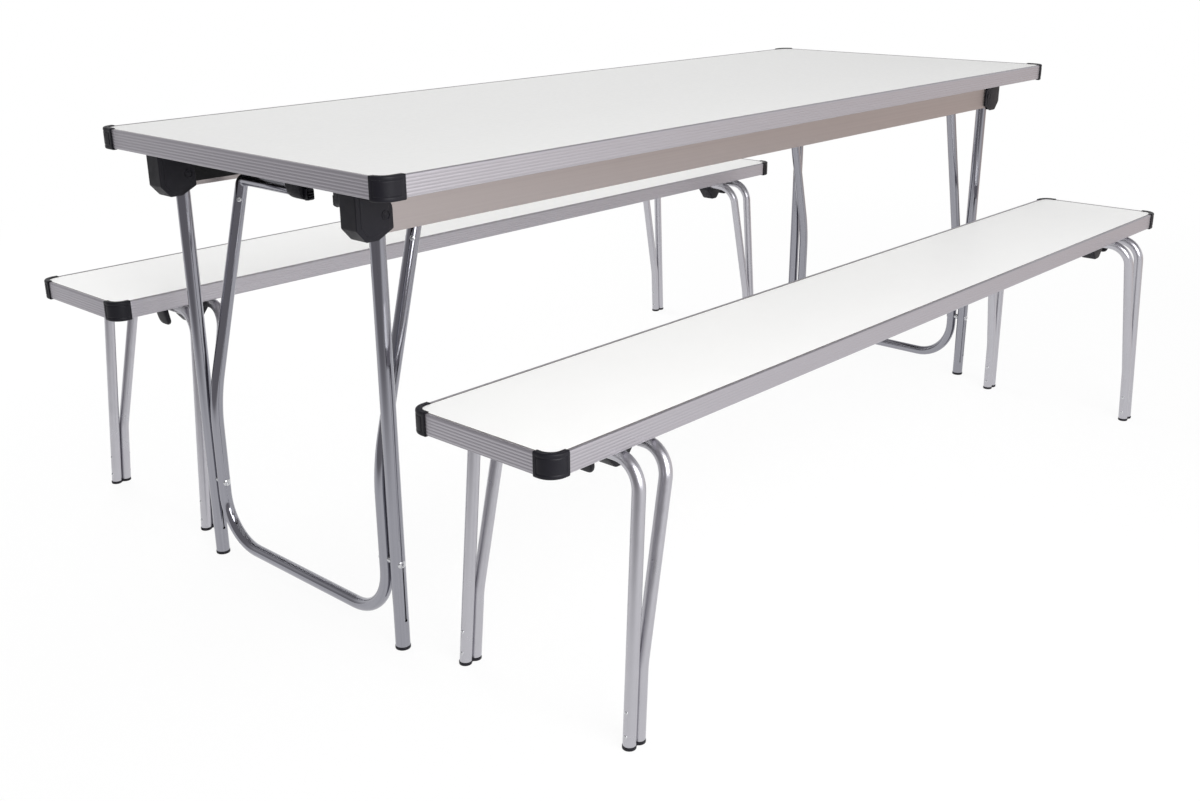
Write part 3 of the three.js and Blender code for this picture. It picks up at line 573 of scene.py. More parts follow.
def surface(name, base, metallic, rough, shade, bump, lay=None, details=(3.0, 3.0, 3.0), sockets=None):
    """Principled finish whose roughness, colour and relief follow noise.

    rough is (grain, low, high), shade is (grain, darkest factor) and bump is (grain, height), with grains
    and heights in millimetres. lay says how the noise is drawn out, and details how fine each of them is.
    """
    material = bpy.data.materials.new(name)
    material.use_nodes = True
    material.diffuse_color = base
    tree = material.node_tree
    tree.nodes.clear()
    grains = (rough[0], shade[0], bump[0])
    noises = [pattern(tree, grain * MM, detail, **(lay or {})) for grain, detail in zip(grains, details)]
    rough_noise, shade_noise, bump_noise = noises
    dark = tuple(channel * shade[1] for channel in base[:3]) + (1.0,)
    tints = {"Factor": shade_noise, MIX_A: dark, MIX_B: tuple(base)}
    spread = {
        "Value": rough_noise,
        "From Min": NOISE_LOW,
        "From Max": NOISE_HIGH,
        "To Min": rough[1],
        "To Max": rough[2],
    }
    relief = {"Height": bump_noise, "Distance": bump[1] * MM, "Strength": 1.0}
    inputs = {
        "Base Color": add_node(tree, "ShaderNodeMix", {"data_type": "RGBA"}, tints).outputs[MIX_RESULT],
        "Metallic": metallic,
        "Roughness": add_node(tree, "ShaderNodeMapRange", inputs=spread).outputs["Result"],
        "Normal": add_node(tree, "ShaderNodeBump", inputs=relief).outputs["Normal"],
        **(sockets or {}),
    }
    shader = add_node(tree, "ShaderNodeBsdfPrincipled", inputs=inputs)
    add_node(tree, "ShaderNodeOutputMaterial", inputs={"Surface": shader.outputs["BSDF"]})
    return material


def make_finishes(finish):
    """The set's finishes by name."""
    along_edge = {"stretch": (600, 600, 1)}
    along_tube = {"stretch": (80, 1, 1), "attribute": TUBE_GRAIN}
    # Pressed melamine: a fine pebble of about 2 mm breaks up its reflections
    laminate = {
        "metallic": 0.0,
        "rough": (9, 0.34, 0.46),
        "shade": (70, 0.975),
        "bump": (2, 0.012),
        "details": (3.0, 4.0, 3.0),
    }
    return {
        # The same laminate twice: painted darker on the table and painted brighter on the seats, standing
        # in for the light that each gets
        "table_laminate": surface("white melamine laminate, table", finish.table_laminate, **laminate),
        "seat_laminate": surface("white melamine laminate, seat", finish.seat_laminate, **laminate),
        # Drawn through a die, then anodised: fine lines run along it and soften its reflections
        "edging": surface(
            "satin anodised aluminium",
            finish.edging,
            metallic=1.0,
            rough=(0.5, 0.4, 0.52),
            shade=(0.6, 0.88),
            bump=(0.5, 0.006),
            lay=along_edge,
        ),
        # Rolled sheet, folded: broad faint roll lines along it, and a slightly warm tone
        "rail": surface(
            "mill finish aluminium",
            finish.rail,
            metallic=1.0,
            rough=(1.2, 0.34, 0.46),
            shade=(3, 0.9),
            bump=(1, 0.006),
            lay=along_edge,
        ),
        # Plated over drawn and polished steel: mirror bright, with faint draw lines along the tube
        "chrome": surface(
            "bright chrome plate",
            finish.chrome,
            metallic=1.0,
            rough=(2.5, 0.05, 0.13),
            shade=(3, 0.76),
            bump=(4, 0.02),
            lay=along_tube,
            details=(3.0, 3.0, 2.0),
        ),
        # Dull plated over drawn steel: soft even reflections with a faint cloudiness
        "satin": surface(
            "satin nickel plate",
            finish.satin,
            metallic=1.0,
            rough=(25, 0.27, 0.36),
            shade=(30, 0.94),
            bump=(20, 0.02),
            details=(3.0, 3.0, 1.0),
        ),
        # Moulded against a spark-eroded tool: a matt grain, drawn at 1.2 mm so that it shows
        "plastic": surface(
            "black polypropylene",
            finish.plastic,
            metallic=0.0,
            rough=(14, 0.42, 0.56),
            shade=(22, 0.78),
            bump=(1.2, 0.05),
            sockets={"Specular IOR Level": 0.25},
        ),
        # Barrel plated: bright, with small dents
        "zinc": surface(
            "zinc plated steel", finish.zinc, 1.0, rough=(3, 0.16, 0.3), shade=(4, 0.8), bump=(2.5, 0.03)
        ),
        # Inside of a drawn tube: dull dark scale
        "bore": surface(
            "unplated mild steel", finish.bore, 0.0, rough=(5, 0.7, 0.85), shade=(8, 0.7), bump=(2, 0.05)
        ),
        # Painted shade on the rails' inner faces: black, no gloss, a coarse nap
        "felt": surface(
            "black wool felt", finish.felt, 0.0, rough=(3, 0.92, 1.0), shade=(2, 0.6), bump=(0.8, 0.2)
        ),
        # A bead of sealant, painted dark as the shadow in the gap between lip and laminate
        "joint": surface(
            "adhesive joint", finish.joint, 0.0, rough=(6, 0.5, 0.7), shade=(12, 0.75), bump=(2, 0.05)
        ),
    }


finishes = {}


def finish_of(name):
    """Finish by name; the whole set is made on the first call."""
    if not finishes:
        finishes.update(make_finishes(bpy.context.scene.dining_set.finish))
    return finishes[name]


# Operators


class DINING_OT_stage(bpy.types.Operator):
    """Set up the pale floor, the white room, the soft boxes and the camera"""

    bl_idname = "dining.stage"
    bl_label = "Stage"

    def execute(self, context):
        scene = context.scene
        stage = scene.dining_set.stage
        self.white_room(scene, stage)
        self.floor(scene, stage)
        self.soft_box(scene, "key", stage.key_power, KEY_PLACE, KEY_SIDE, mirrored=True)
        self.soft_box(scene, "fill", stage.fill_power, FILL_PLACE, FILL_SIDE, mirrored=False)
        self.camera(scene, stage)
        scene.view_settings.view_transform = "Standard"
        return {"FINISHED"}

    def seen(self, tree):
        """One where a camera, glossy or transmission ray looks, which then meets the white background."""
        path = add_node(tree, "ShaderNodeLightPath").outputs
        share = path["Is Camera Ray"]
        adding = {"operation": "ADD", "use_clamp": True}
        for kind in ("Is Glossy Ray", "Is Transmission Ray"):
            share = add_node(tree, "ShaderNodeMath", adding, {0: share, 1: path[kind]}).outputs[0]
        return share

    def ramp(self, tree, place, direction, span):
        """Smooth step from nought to one along a direction."""
        dot = add_node(tree, "ShaderNodeVectorMath", {"operation": "DOT_PRODUCT"}, {0: place, 1: direction})
        reach = {"Value": dot.outputs["Value"], "From Min": span[0], "From Max": span[1]}
        step = add_node(tree, "ShaderNodeMapRange", {"interpolation_type": "SMOOTHSTEP"}, reach)
        return step.outputs["Result"]

    def toned(self, tree, tones):
        """White to the eye, and in reflections each tone where its share is high."""
        glossy = add_node(tree, "ShaderNodeLightPath").outputs["Is Glossy Ray"]
        tone = WHITE
        for share, code in tones:
            amount = add_node(tree, "ShaderNodeMath", {"operation": "MULTIPLY"}, {0: share, 1: glossy})
            inputs = {"Factor": amount.outputs[0], MIX_A: tone, MIX_B: linear(code)}
            tone = add_node(tree, "ShaderNodeMix", {"data_type": "RGBA"}, inputs).outputs[MIX_RESULT]
        return tone

    def white_room(self, scene, stage):
        """White backdrop for the eye; metal also mirrors the dimmer room on the camera's left and above."""
        world = bpy.data.worlds.new("white room")
        world.use_nodes = True
        scene.world = world
        tree = world.node_tree
        tree.nodes.clear()
        heading = add_node(tree, "ShaderNodeTexCoord").outputs["Generated"]
        side = self.ramp(tree, heading, ROOM_SIDE, SIDE_SPAN)
        ceiling = self.ramp(tree, heading, (0, 0, 1), CEILING_SPAN)
        dim = add_node(tree, "ShaderNodeMath", {"operation": "MAXIMUM"}, {0: side, 1: ceiling}).outputs[0]
        tone = self.toned(tree, ((dim, ROOM_DIM),))
        backdrop = add_node(tree, "ShaderNodeBackground", inputs={"Color": tone, "Strength": 1.0})
        ambient = add_node(tree, "ShaderNodeBackground", inputs={"Color": WHITE, "Strength": stage.ambient})
        shaders = {0: self.seen(tree), 1: ambient.outputs[0], 2: backdrop.outputs[0]}
        mix = add_node(tree, "ShaderNodeMixShader", inputs=shaders)
        add_node(tree, "ShaderNodeOutputWorld", inputs={"Surface": mix.outputs[0]})

    def floor(self, scene, stage):
        """Flat square that is mostly white to the eye near the table, so that a soft shadow stays there.

        Further out it turns wholly white, so that it meets the backdrop without a line.
        """
        half = stage.floor_size / 2
        corners = [(-half, -half, 0), (half, -half, 0), (half, half, 0), (-half, half, 0)]
        mesh = bpy.data.meshes.new("floor")
        mesh.from_pydata(corners, [], [(0, 1, 2, 3)])
        floor = bpy.data.objects.new("floor", mesh)
        scene.collection.objects.link(floor)
        material = bpy.data.materials.new("pale studio floor")
        material.use_nodes = True
        mesh.materials.append(material)
        tree = material.node_tree
        tree.nodes.clear()
        paint = tuple(scene.dining_set.finish.floor)
        matt = add_node(tree, "ShaderNodeBsdfDiffuse", inputs={"Color": paint}).outputs[0]
        place = add_node(tree, "ShaderNodeTexCoord").outputs["Object"]
        warm = self.ramp(tree, place, (1, 0, 0), FLOOR_WARM_SPAN)
        dim = self.ramp(tree, place, ROOM_SIDE, FLOOR_DIM_SPAN)
        tone = self.toned(tree, ((warm, ROOM_WARM), (dim, ROOM_DIM)))
        glow = add_node(tree, "ShaderNodeEmission", inputs={"Color": tone, "Strength": 1.0}).outputs[0]
        away = add_node(tree, "ShaderNodeVectorMath", {"operation": "LENGTH"}, {0: place}).outputs["Value"]
        near, far = FLOOR_WHITE_SPAN
        reach = {"Value": away, "From Min": near, "From Max": far, "To Min": FLOOR_WHITE, "To Max": 1.0}
        white = add_node(tree, "ShaderNodeMapRange", {"interpolation_type": "SMOOTHSTEP"}, reach)
        shares = {0: self.seen(tree), 1: white.outputs["Result"]}
        share = add_node(tree, "ShaderNodeMath", {"operation": "MULTIPLY"}, shares).outputs[0]
        mix = add_node(tree, "ShaderNodeMixShader", inputs={0: share, 1: matt, 2: glow})
        add_node(tree, "ShaderNodeOutputMaterial", inputs={"Surface": mix.outputs[0]})

    def soft_box(self, scene, name, power, place, side, mirrored):
        """Square lamp that faces the middle of the table, and that gloss mirrors or not."""
        lamp = bpy.data.lights.new(name, "AREA")
        lamp.energy = power
        lamp.size = side
        holder = bpy.data.objects.new(name, lamp)
        scene.collection.objects.link(holder)
        holder.location = place
        holder.visible_glossy = mirrored
        aim = np.array(LIT_POINT) - np.array(place)
        tilt = math.acos(-aim[2] / np.linalg.norm(aim))
        holder.rotation_euler = (tilt, 0, math.atan2(aim[1], aim[0]) - math.pi / 2)

    def camera(self, scene, stage):
        """Camera at the photograph's eye point."""
        data = bpy.data.cameras.new("camera")
        data.sensor_width = SENSOR_WIDTH
        data.sensor_fit = "HORIZONTAL"
        data.lens = stage.lens
        camera = bpy.data.objects.new("camera", data)
        scene.collection.objects.link(camera)
        heading = Euler((math.pi / 2 - stage.pitch, 0, stage.yaw - math.pi / 2)).to_matrix()
        turn = heading @ Matrix.Rotation(stage.roll, 3, "Z")
        camera.matrix_world = Matrix.Translation(stage.eye) @ turn.to_4x4()
        scene.camera = camera


class DINING_OT_boards(bpy.types.Operator):
    """Give the boards their laminate and the dark joint along the edging, a bead painted dark as the gap's
    shadow
    """

    bl_idname = "dining.boards"
    bl_label = "Boards"

    def execute(self, context):
        trim = context.scene.dining_set.trim
        for top, body in TOPS.items():
            is_table = top == "table"
            node = "table_board" if is_table else f"{top}_seat"
            board = frame["nodes"][node]
            # The table's laminate is painted darker and the seats' brighter: painted shade and painted
            # light
            board.material_slots[0].material = finish_of("table_laminate" if is_table else "seat_laminate")
            rings = top_rings(top, trim.corner_radius, self.bead(trim), corners_of(node)[1][2])
            # Dark bead along the edging's lip: painted shadow of the gap there
            add_piece(f"laminate_joint_shadow_{top}", [loft(rings, looped=True)], "joint", body)
        return {"FINISHED"}

    def bead(self, trim):
        """Section of the joint as outward and up: a low bead beside the edging's lip."""
        gap = 0.2 * MM
        height = 0.5 * MM
        outline = np.array(((0.5, -1), (0.5, 0.3), (0, 0.45), (-0.5, 0.3), (-0.5, -1)))
        middle = -trim.lip_reach - gap - trim.joint_shadow_width / 2
        return outline * (trim.joint_shadow_width, height) + (middle, 0)


class DINING_OT_edgings(bpy.types.Operator):
    """Make the ribbed aluminium edging round the tops"""

    bl_idname = "dining.edgings"
    bl_label = "Edgings"

    def execute(self, context):
        trim = context.scene.dining_set.trim
        for top, body in TOPS.items():
            node = f"{top}_edging"
            low, high = corners_of(node)
            rings = top_rings(top, trim.corner_radius, self.profile(trim, high[2] - low[2]), low[2])
            add_piece(f"ribbed_edging_{top}", [loft(rings, looped=True)], "edging", body, node)
        return {"FINISHED"}

    def profile(self, trim, height):
        """Channel section as outward and up: the face falls back by d - d |sin(n pi t)| between n ribs."""
        r = trim.edge_round
        steps_per_rib = 8
        share = np.linspace(0, 1, steps_per_rib * trim.rib_count + 1)
        ribs = trim.rib_depth * (np.abs(np.sin(trim.rib_count * np.pi * share)) - 1)
        face = np.column_stack((ribs, r + (height - 2 * r) * share))
        angle = np.linspace(0, np.pi / 2, RIM_STEPS)
        top_edge = np.column_stack((r * np.cos(angle) - r, height - r + r * np.sin(angle)))
        bottom_edge = np.column_stack((r * np.sin(angle) - r, r - r * np.cos(angle)))
        lip = trim.lip_reach
        thick = trim.lip_thickness
        soft = thick / 2
        lip_out = -lip + soft - soft * np.sin(angle)
        lip_end = np.column_stack((lip_out, height - soft + soft * np.cos(angle)))
        inside = np.array(
            (
                (-lip, height - thick),
                (-trim.wall, height - thick),
                (-trim.wall, thick),
                (-lip, thick),
                (-lip, 0),
            )
        )
        return np.concatenate((face, top_edge, lip_end, inside, bottom_edge[:-1]))


class DINING_OT_corner_caps(bpy.types.Operator):
    """Make the black caps clipped over the corners of the edging"""

    bl_idname = "dining.corner_caps"
    bl_label = "Corner caps"

    def execute(self, context):
        trim = context.scene.dining_set.trim
        for top, body in TOPS.items():
            is_table = top == "table"
            legs = (trim.cap_long_leg, trim.cap_short_leg) if is_table else (trim.bench_cap_leg,) * 2
            low, high = corners_of(f"{top}_edging")
            for (corner, (cosine, sine)), place in zip(CORNERS.items(), rectangle(low, high)):
                node = f"{top}_cap_{corner}"
                cap = [end[2] for end in corners_of(node)]
                along, across, height = np.moveaxis(self.clip(trim, legs, (low[2], high[2]), cap), -1, 0)
                x = place[0] + cosine * along - sine * across
                y = place[1] + sine * along + cosine * across
                skin = loft(np.stack((x, y, height), axis=-1))
                add_piece(f"corner_cap_{top}_{corner}", [skin], "plastic", body, node)
        return {"FINISHED"}

    def profile(self, trim, edging, cap):
        """Clip section as outward and height: a rounded outer wall and two lips that taper to their ends.

        The edging and the cap come as their lowest and highest level. A second array marks the points on
        the wall's flat face.
        """
        low, high = cap
        soft = trim.cap_round
        clearance = 0.3 * MM
        taper = 1.2 * MM
        fall = 0.1 * MM
        upper_tip = 0.3 * MM
        lower_tip = 0.4 * MM
        face_rows = 40
        tip = -trim.cap_lip
        angle = np.linspace(0, np.pi / 2, CORNER_STEPS)
        rows = np.linspace(low + soft, high - soft, face_rows)[1:-1]
        face = np.column_stack((np.full(len(rows), CAP_WALL), rows))
        edge = CAP_WALL - soft
        top_edge = np.column_stack((edge + soft * np.cos(angle), high - soft + soft * np.sin(angle)))
        bottom_edge = np.column_stack((edge + soft * np.sin(angle), low + soft - soft * np.cos(angle)))
        seat = edging[1] + clearance
        under = edging[0] - clearance
        inside = np.array(
            (
                (tip + taper, high - fall),
                (tip, seat + upper_tip),
                (tip, seat),
                (clearance, seat),
                (clearance, under),
                (tip, under),
                (tip, under - lower_tip),
                (tip + taper, low + fall),
            )
        )
        outline = np.concatenate((face, top_edge, inside, bottom_edge))
        return outline, np.arange(len(outline)) < len(face)

    def clip(self, trim, legs, edging, cap):
        """Rings of the clip from the end of one leg, round the corner, to the end of the other.

        A groove of depth g exp(-(d / w)^2) runs round a panel on the outer face, where d is the distance to
        the panel's rectangle in arc length and height. Both ends are drawn in to a soft rim.
        """
        groove_width = 0.7 * MM
        rim = np.array((0, 0.2, 0.6, 1.2)) * MM
        rim_draw = np.array((1.0, 0.5, 0.15, 0.0)) * MM * 0.8
        rings, rings_in_rim = 76, 3
        radius = trim.corner_radius
        long_run, short_run = (leg - CAP_WALL - radius for leg in legs)
        arc = radius * np.pi / 2
        whole = short_run + arc + long_run
        between = np.linspace(0, whole, rings)[rings_in_rim:-rings_in_rim]
        station = np.concatenate((rim, between, whole - rim[::-1]))
        draw = np.concatenate((rim_draw, np.zeros(len(between)), rim_draw[::-1]))
        bend = np.clip((station - short_run) / radius, 0, np.pi / 2) + np.pi
        normal = np.column_stack((np.cos(bend), np.sin(bend)))
        past = np.clip(station - short_run - arc, 0, None)
        before = np.clip(short_run - station, 0, None)
        foot = radius + radius * normal + np.column_stack((past, before))
        outline, is_face = self.profile(trim, edging, cap)
        profiles = np.stack([drawn_in(outline, distance) for distance in draw])
        half_height = (cap[1] - cap[0]) / 2 - trim.panel_margin
        half_run = whole / 2 - trim.panel_margin
        beyond_ends = np.abs(station - whole / 2)[:, None] - half_run
        beyond_rims = np.abs(profiles[..., 1] - (cap[0] + cap[1]) / 2) - half_height
        distance = np.maximum(beyond_ends, beyond_rims)
        groove = trim.panel_groove * np.exp(-((distance / groove_width) ** 2)) * is_face
        outward = profiles[..., 0] - groove
        plan = foot[:, None] + outward[..., None] * normal[:, None]
        return np.concatenate((plan, profiles[..., 1:]), axis=-1)


class DINING_OT_rails(bpy.types.Operator):
    """Make the folded side rails, the black strips that paint the shade on their inner faces, and their
    screws
    """

    bl_idname = "dining.rails"
    bl_label = "Side rails"

    def execute(self, context):
        table = context.scene.dining_set.table
        low, high = corners_of("rail_far")
        bar = self.folded(table, low, high)
        strips = self.felt(table, low, high)
        screws = self.screws(table, low, high)
        for side, sign in SIDES.items():
            add_piece(f"folded_rail_{side}", lofts([bar], sign), "rail", "table_top", f"rail_{side}")
            # Black strips: painted shade on the rail's inner face
            add_piece(f"painted_shade_strips_{side}", lofts(strips, sign), "felt", "table_top")
            add_piece(f"rail_screws_{side}", lofts(screws, sign), "zinc", "table_top")
        return {"FINISHED"}

    def folded(self, table, low, high):
        """Angle section with soft folds, carried along the table."""
        wall = table.rail_wall
        rim = 0.15 * MM
        outline = (
            (high[1], low[2]),
            (high[1], high[2]),
            (low[1], high[2]),
            (low[1], high[2] - wall),
            (high[1] - wall, high[2] - wall),
            (high[1] - wall, low[2]),
        )
        radii = np.array((0.4, 2.2, 0.4, 0.4, 0.6, 0.3)) * MM
        return along_x(slab(rounded(outline, radii), low[0], high[0], rim, rim))

    def felt(self, table, low, high):
        """Thin black strips on the web's inner face near its ends, beside which the folded legs lie; they
        paint that face's shade.
        """
        end_gap = 4 * MM
        outer = high[1] - table.rail_wall
        inner = outer - table.painted_shade_thickness
        bottom = low[2] + table.painted_shade_rise
        top = high[2] - 2 * table.rail_wall
        outline = np.array(((outer, bottom), (outer, top), (inner, top), (inner, bottom)))
        start, end = table.painted_shade_start, high[0] - end_gap
        return [along_x(slab(outline, *span)) for span in ((-end, -start), (start, end))]

    def screws(self, table, low, high):
        """Pan heads under the flange, evenly spaced."""
        count = 7
        end_gap = 120 * MM
        inset = 8 * MM
        y = low[1] + inset
        z = high[2] - table.rail_wall
        stations = np.linspace(low[0] + end_gap, high[0] - end_gap, count)
        return [head(SCREW_RADIUS, SCREW_HEIGHT, (x, y, z), (0, 0, -1)) for x in stations]


class DINING_OT_housings(bpy.types.Operator):
    """Make the plastic housings that hold the tops of the legs"""

    bl_idname = "dining.housings"
    bl_label = "Leg housings"

    def execute(self, context):
        rings = self.shell(context.scene.dining_set.table, *corners_of("housing_far_right"))
        for end, end_sign in ENDS.items():
            for side, side_sign in SIDES.items():
                node = f"housing_{side}_{end}"
                parts = lofts(rings, end_sign, end_sign * side_sign)
                add_piece(f"leg_{node}", parts, "plastic", "table_top", node)
        return {"FINISHED"}

    def shell(self, table, low, high):
        """Two cheeks, raised shields, the wall and lid between them, the pin and its caps, as rings."""
        wall = table.housing_wall
        boss = 1.5 * MM
        rim = 1.4 * MM
        proud = 0.7 * MM
        sunk = 1 * MM
        pin_radius = 4 * MM
        outer_y, inner_y = high[1] - boss, low[1] + boss
        pivot = hinge_of("right_leg_fold")
        outline, shield, band, lid = self.outlines(table, low, high)
        return [
            along_y(slab(outline, outer_y - wall, outer_y, 0, rim)),
            along_y(slab(outline, inner_y, inner_y + wall, rim, 0)),
            along_y(slab(shield, outer_y - sunk, outer_y + proud, 0, proud)),
            along_y(slab(shield, inner_y - proud, inner_y + sunk, proud, 0)),
            along_y(slab(band, inner_y + wall, outer_y - wall)),
            along_y(slab(lid, inner_y + wall, outer_y - wall)),
            along_y(slab(circle(pin_radius, centre=pivot), inner_y + wall / 2, outer_y - wall / 2)),
            self.pivot_cap(table, pivot, outer_y, 1),
            self.pivot_cap(table, pivot, inner_y, -1),
        ]

    def outlines(self, table, low, high):
        """Side views of a cheek, its shield, the wall between the cheeks and the lid, in x and z."""
        wall = table.housing_wall
        bottom, top, inboard, outboard = low[2], high[2], low[0], high[0]
        shoulder_x = inboard + 16 * MM
        shoulder_z = top - table.shoulder_drop
        flat_end = outboard - 15 * MM
        flat_start = flat_end - 20 * MM
        toe = bottom + 12.5 * MM
        heel = bottom + 17 * MM
        cheek = (
            (outboard, top),
            (shoulder_x, top),
            (shoulder_x, shoulder_z),
            (inboard, shoulder_z),
            (inboard, toe),
            (flat_start, bottom),
            (flat_end, bottom),
            (outboard, heel),
        )
        cheek_radii = np.array((0.4, 0.4, 0.8, table.shoulder_radius / MM, 3, 4, 4, 4)) * MM
        side_margin = 7 * MM
        top_margin = 3 * MM
        base_margin = 6.5 * MM
        shield_radius = 4 * MM
        shield = (
            (outboard - side_margin, top - top_margin),
            (shoulder_x + 3 * MM, top - top_margin),
            (inboard + side_margin, shoulder_z - 9 * MM),
            (inboard + side_margin, bottom + 15 * MM),
            (flat_start + 2 * MM, bottom + base_margin),
            (flat_end - 2.5 * MM, bottom + base_margin),
            (outboard - side_margin, bottom + 20 * MM),
        )
        inner_face = outboard - wall
        band_start = flat_start + 9 * MM
        band = (
            (outboard, top),
            (inner_face, top),
            (inner_face, heel + wall),
            (flat_end - wall / 2, bottom + wall),
            (band_start, bottom + wall),
            (band_start, bottom),
            (flat_end, bottom),
            (outboard, heel),
        )
        band_radii = np.array((0.2, 0.2, 2, 2, 0.4, 0.4, 4, 4)) * MM
        lid = ((inner_face, top), (shoulder_x, top), (shoulder_x, top - wall), (inner_face, top - wall))
        lid_radius = 0.3 * MM
        return (
            rounded(cheek, cheek_radii),
            rounded(shield, shield_radius),
            rounded(band, band_radii),
            rounded(lid, lid_radius),
        )

    def pivot_cap(self, table, pivot, y, facing):
        """Collar and button: r and height go over a soft ring, down to its seat, and over a low dome."""
        outer = table.pivot_cap / 2
        radii = np.array((1, 1, 0.96, 0.8, 0.76, 0.75, 0.6, 0.59, 0.55, 0.35, 0.12)) * outer
        levels = np.array((-1, 0.9, 1.4, 1.4, 0.9, -0.4, -0.4, 0.5, 0.9, 1.2, 1.3)) * MM
        flat = circle(1.0)
        x = pivot[0] + radii[:, None] * flat[:, 0]
        z = pivot[1] + radii[:, None] * flat[:, 1]
        height = np.broadcast_to(y + facing * levels[:, None], x.shape)
        return np.stack((x, height, z), axis=-1)


class DINING_OT_table_legs(bpy.types.Operator):
    """Make the table's slotted legs and their feet"""

    bl_idname = "dining.table_legs"
    bl_label = "Table legs"

    def execute(self, context):
        table = context.scene.dining_set.table
        for end in ENDS:
            for side in SIDES:
                self.leg(table, f"{side}_{end}", f"{end}_legs")
                self.foot(f"{side}_{end}", f"{end}_legs")
        return {"FINISHED"}

    def leg(self, table, place, body):
        """Slotted skin that a modifier gives its wall, with a dull bore."""
        node = f"leg_{place}"
        skin = self.slotted(table, *corners_of(node))
        piece = add_piece(f"chrome_{node}", [skin], "chrome", body, node, grain=skin[0][:, (2, 0, 1)])
        piece.data.materials.append(finish_of("bore"))
        wall = piece.modifiers.new("tube wall", "SOLIDIFY")
        wall.thickness = table.leg_wall
        wall.offset = -1
        wall.material_offset = 1

    def foot(self, place, body):
        """Disc with soft rims under a leg, and the plug that holds it in the tube."""
        node = f"foot_{place}"
        low, high = corners_of(node)
        centre = (low[:2] + high[:2]) / 2
        radius = (high[1] - low[1]) / 2
        leg_end = corners_of(f"leg_{place}")[0][2]
        disc_top = leg_end - 0.1 * MM
        lower_rim, upper_rim = 1.2 * MM, 0.8 * MM
        disc = slab(circle(radius, TUBE_SIDES, centre), 0, disc_top, lower_rim, upper_rim)
        plug_radius = radius - 3 * MM
        plug_start, plug_end = 2 * MM, leg_end + 9 * MM
        plug_rim = 1 * MM
        plug = slab(circle(plug_radius, TUBE_SIDES, centre), plug_start, plug_end, 0, plug_rim)
        add_piece(f"leg_{node}", lofts([disc, plug]), "plastic", body, node)

    def slotted(self, table, low, high):
        """Tube skin with a slot through both sides.

        Round the tube, four columns of points follow the slot's edges at asin(w / R) from the y axis, where
        w is the slot's half width at that height, and the rest are spread evenly between them. The quads
        inside the slot are left out. At the foot of the slot w follows a round hole, sqrt(r^2 - dz^2).
        """
        hole_steps, neck_steps, crown_steps = 13, 10, 6
        least_width = 0.02 * MM
        radius = np.max(high[:2] - low[:2]) / 2
        centre = (low[:2] + high[:2]) / 2
        hole = table.slot_end / 2
        half = table.slot_width / 2
        crown_start = table.slot_top - half
        dip = hole * np.cos(np.linspace(np.pi, 0, hole_steps))
        neck = np.linspace(table.slot_bottom + hole, crown_start, neck_steps)[1:]
        crown = crown_start + half * np.sin(np.linspace(0, np.pi / 2, crown_steps))[1:]
        slot_levels = np.concatenate((table.slot_bottom + dip, neck, crown))
        round_hole = np.sqrt(np.clip(hole**2 - (slot_levels - table.slot_bottom) ** 2, 0, None))
        straight = np.where(slot_levels > table.slot_bottom, half, 0.0)
        over = np.clip(slot_levels - table.slot_top + half, 0, None)
        closing = np.sqrt(np.clip(half**2 - over**2, 0, None))
        width = np.maximum(round_hole, np.minimum(straight, closing))
        levels = np.concatenate(((low[2],), slot_levels, (high[2],)))
        width = np.concatenate(((0.0,), width, (0.0,)))
        edge = np.arcsin(np.clip(width, least_width, None) / radius)[:, None]
        share = np.linspace(0, 1, TUBE_SIDES // 2)[None]
        first = -np.pi / 2 + edge + share * (np.pi - 2 * edge)
        angle = np.concatenate((first, first + np.pi), axis=1)
        x = centre[0] + radius * np.cos(angle)
        y = centre[1] + radius * np.sin(angle)
        z = np.broadcast_to(levels[:, None], x.shape)
        points = np.stack((x, y, z), axis=-1)
        rows, columns = x.shape
        index = np.arange(rows * columns).reshape(rows, columns)
        ahead = np.roll(index, -1, axis=1)
        quads = np.stack((index[:-1], ahead[:-1], ahead[1:], index[1:]), axis=-1)
        is_gap = np.zeros((rows - 1, columns), dtype=bool)
        is_gap[1:-1, (TUBE_SIDES // 2 - 1, TUBE_SIDES - 1)] = True
        return points.reshape(-1, 3), [quads[~is_gap]]


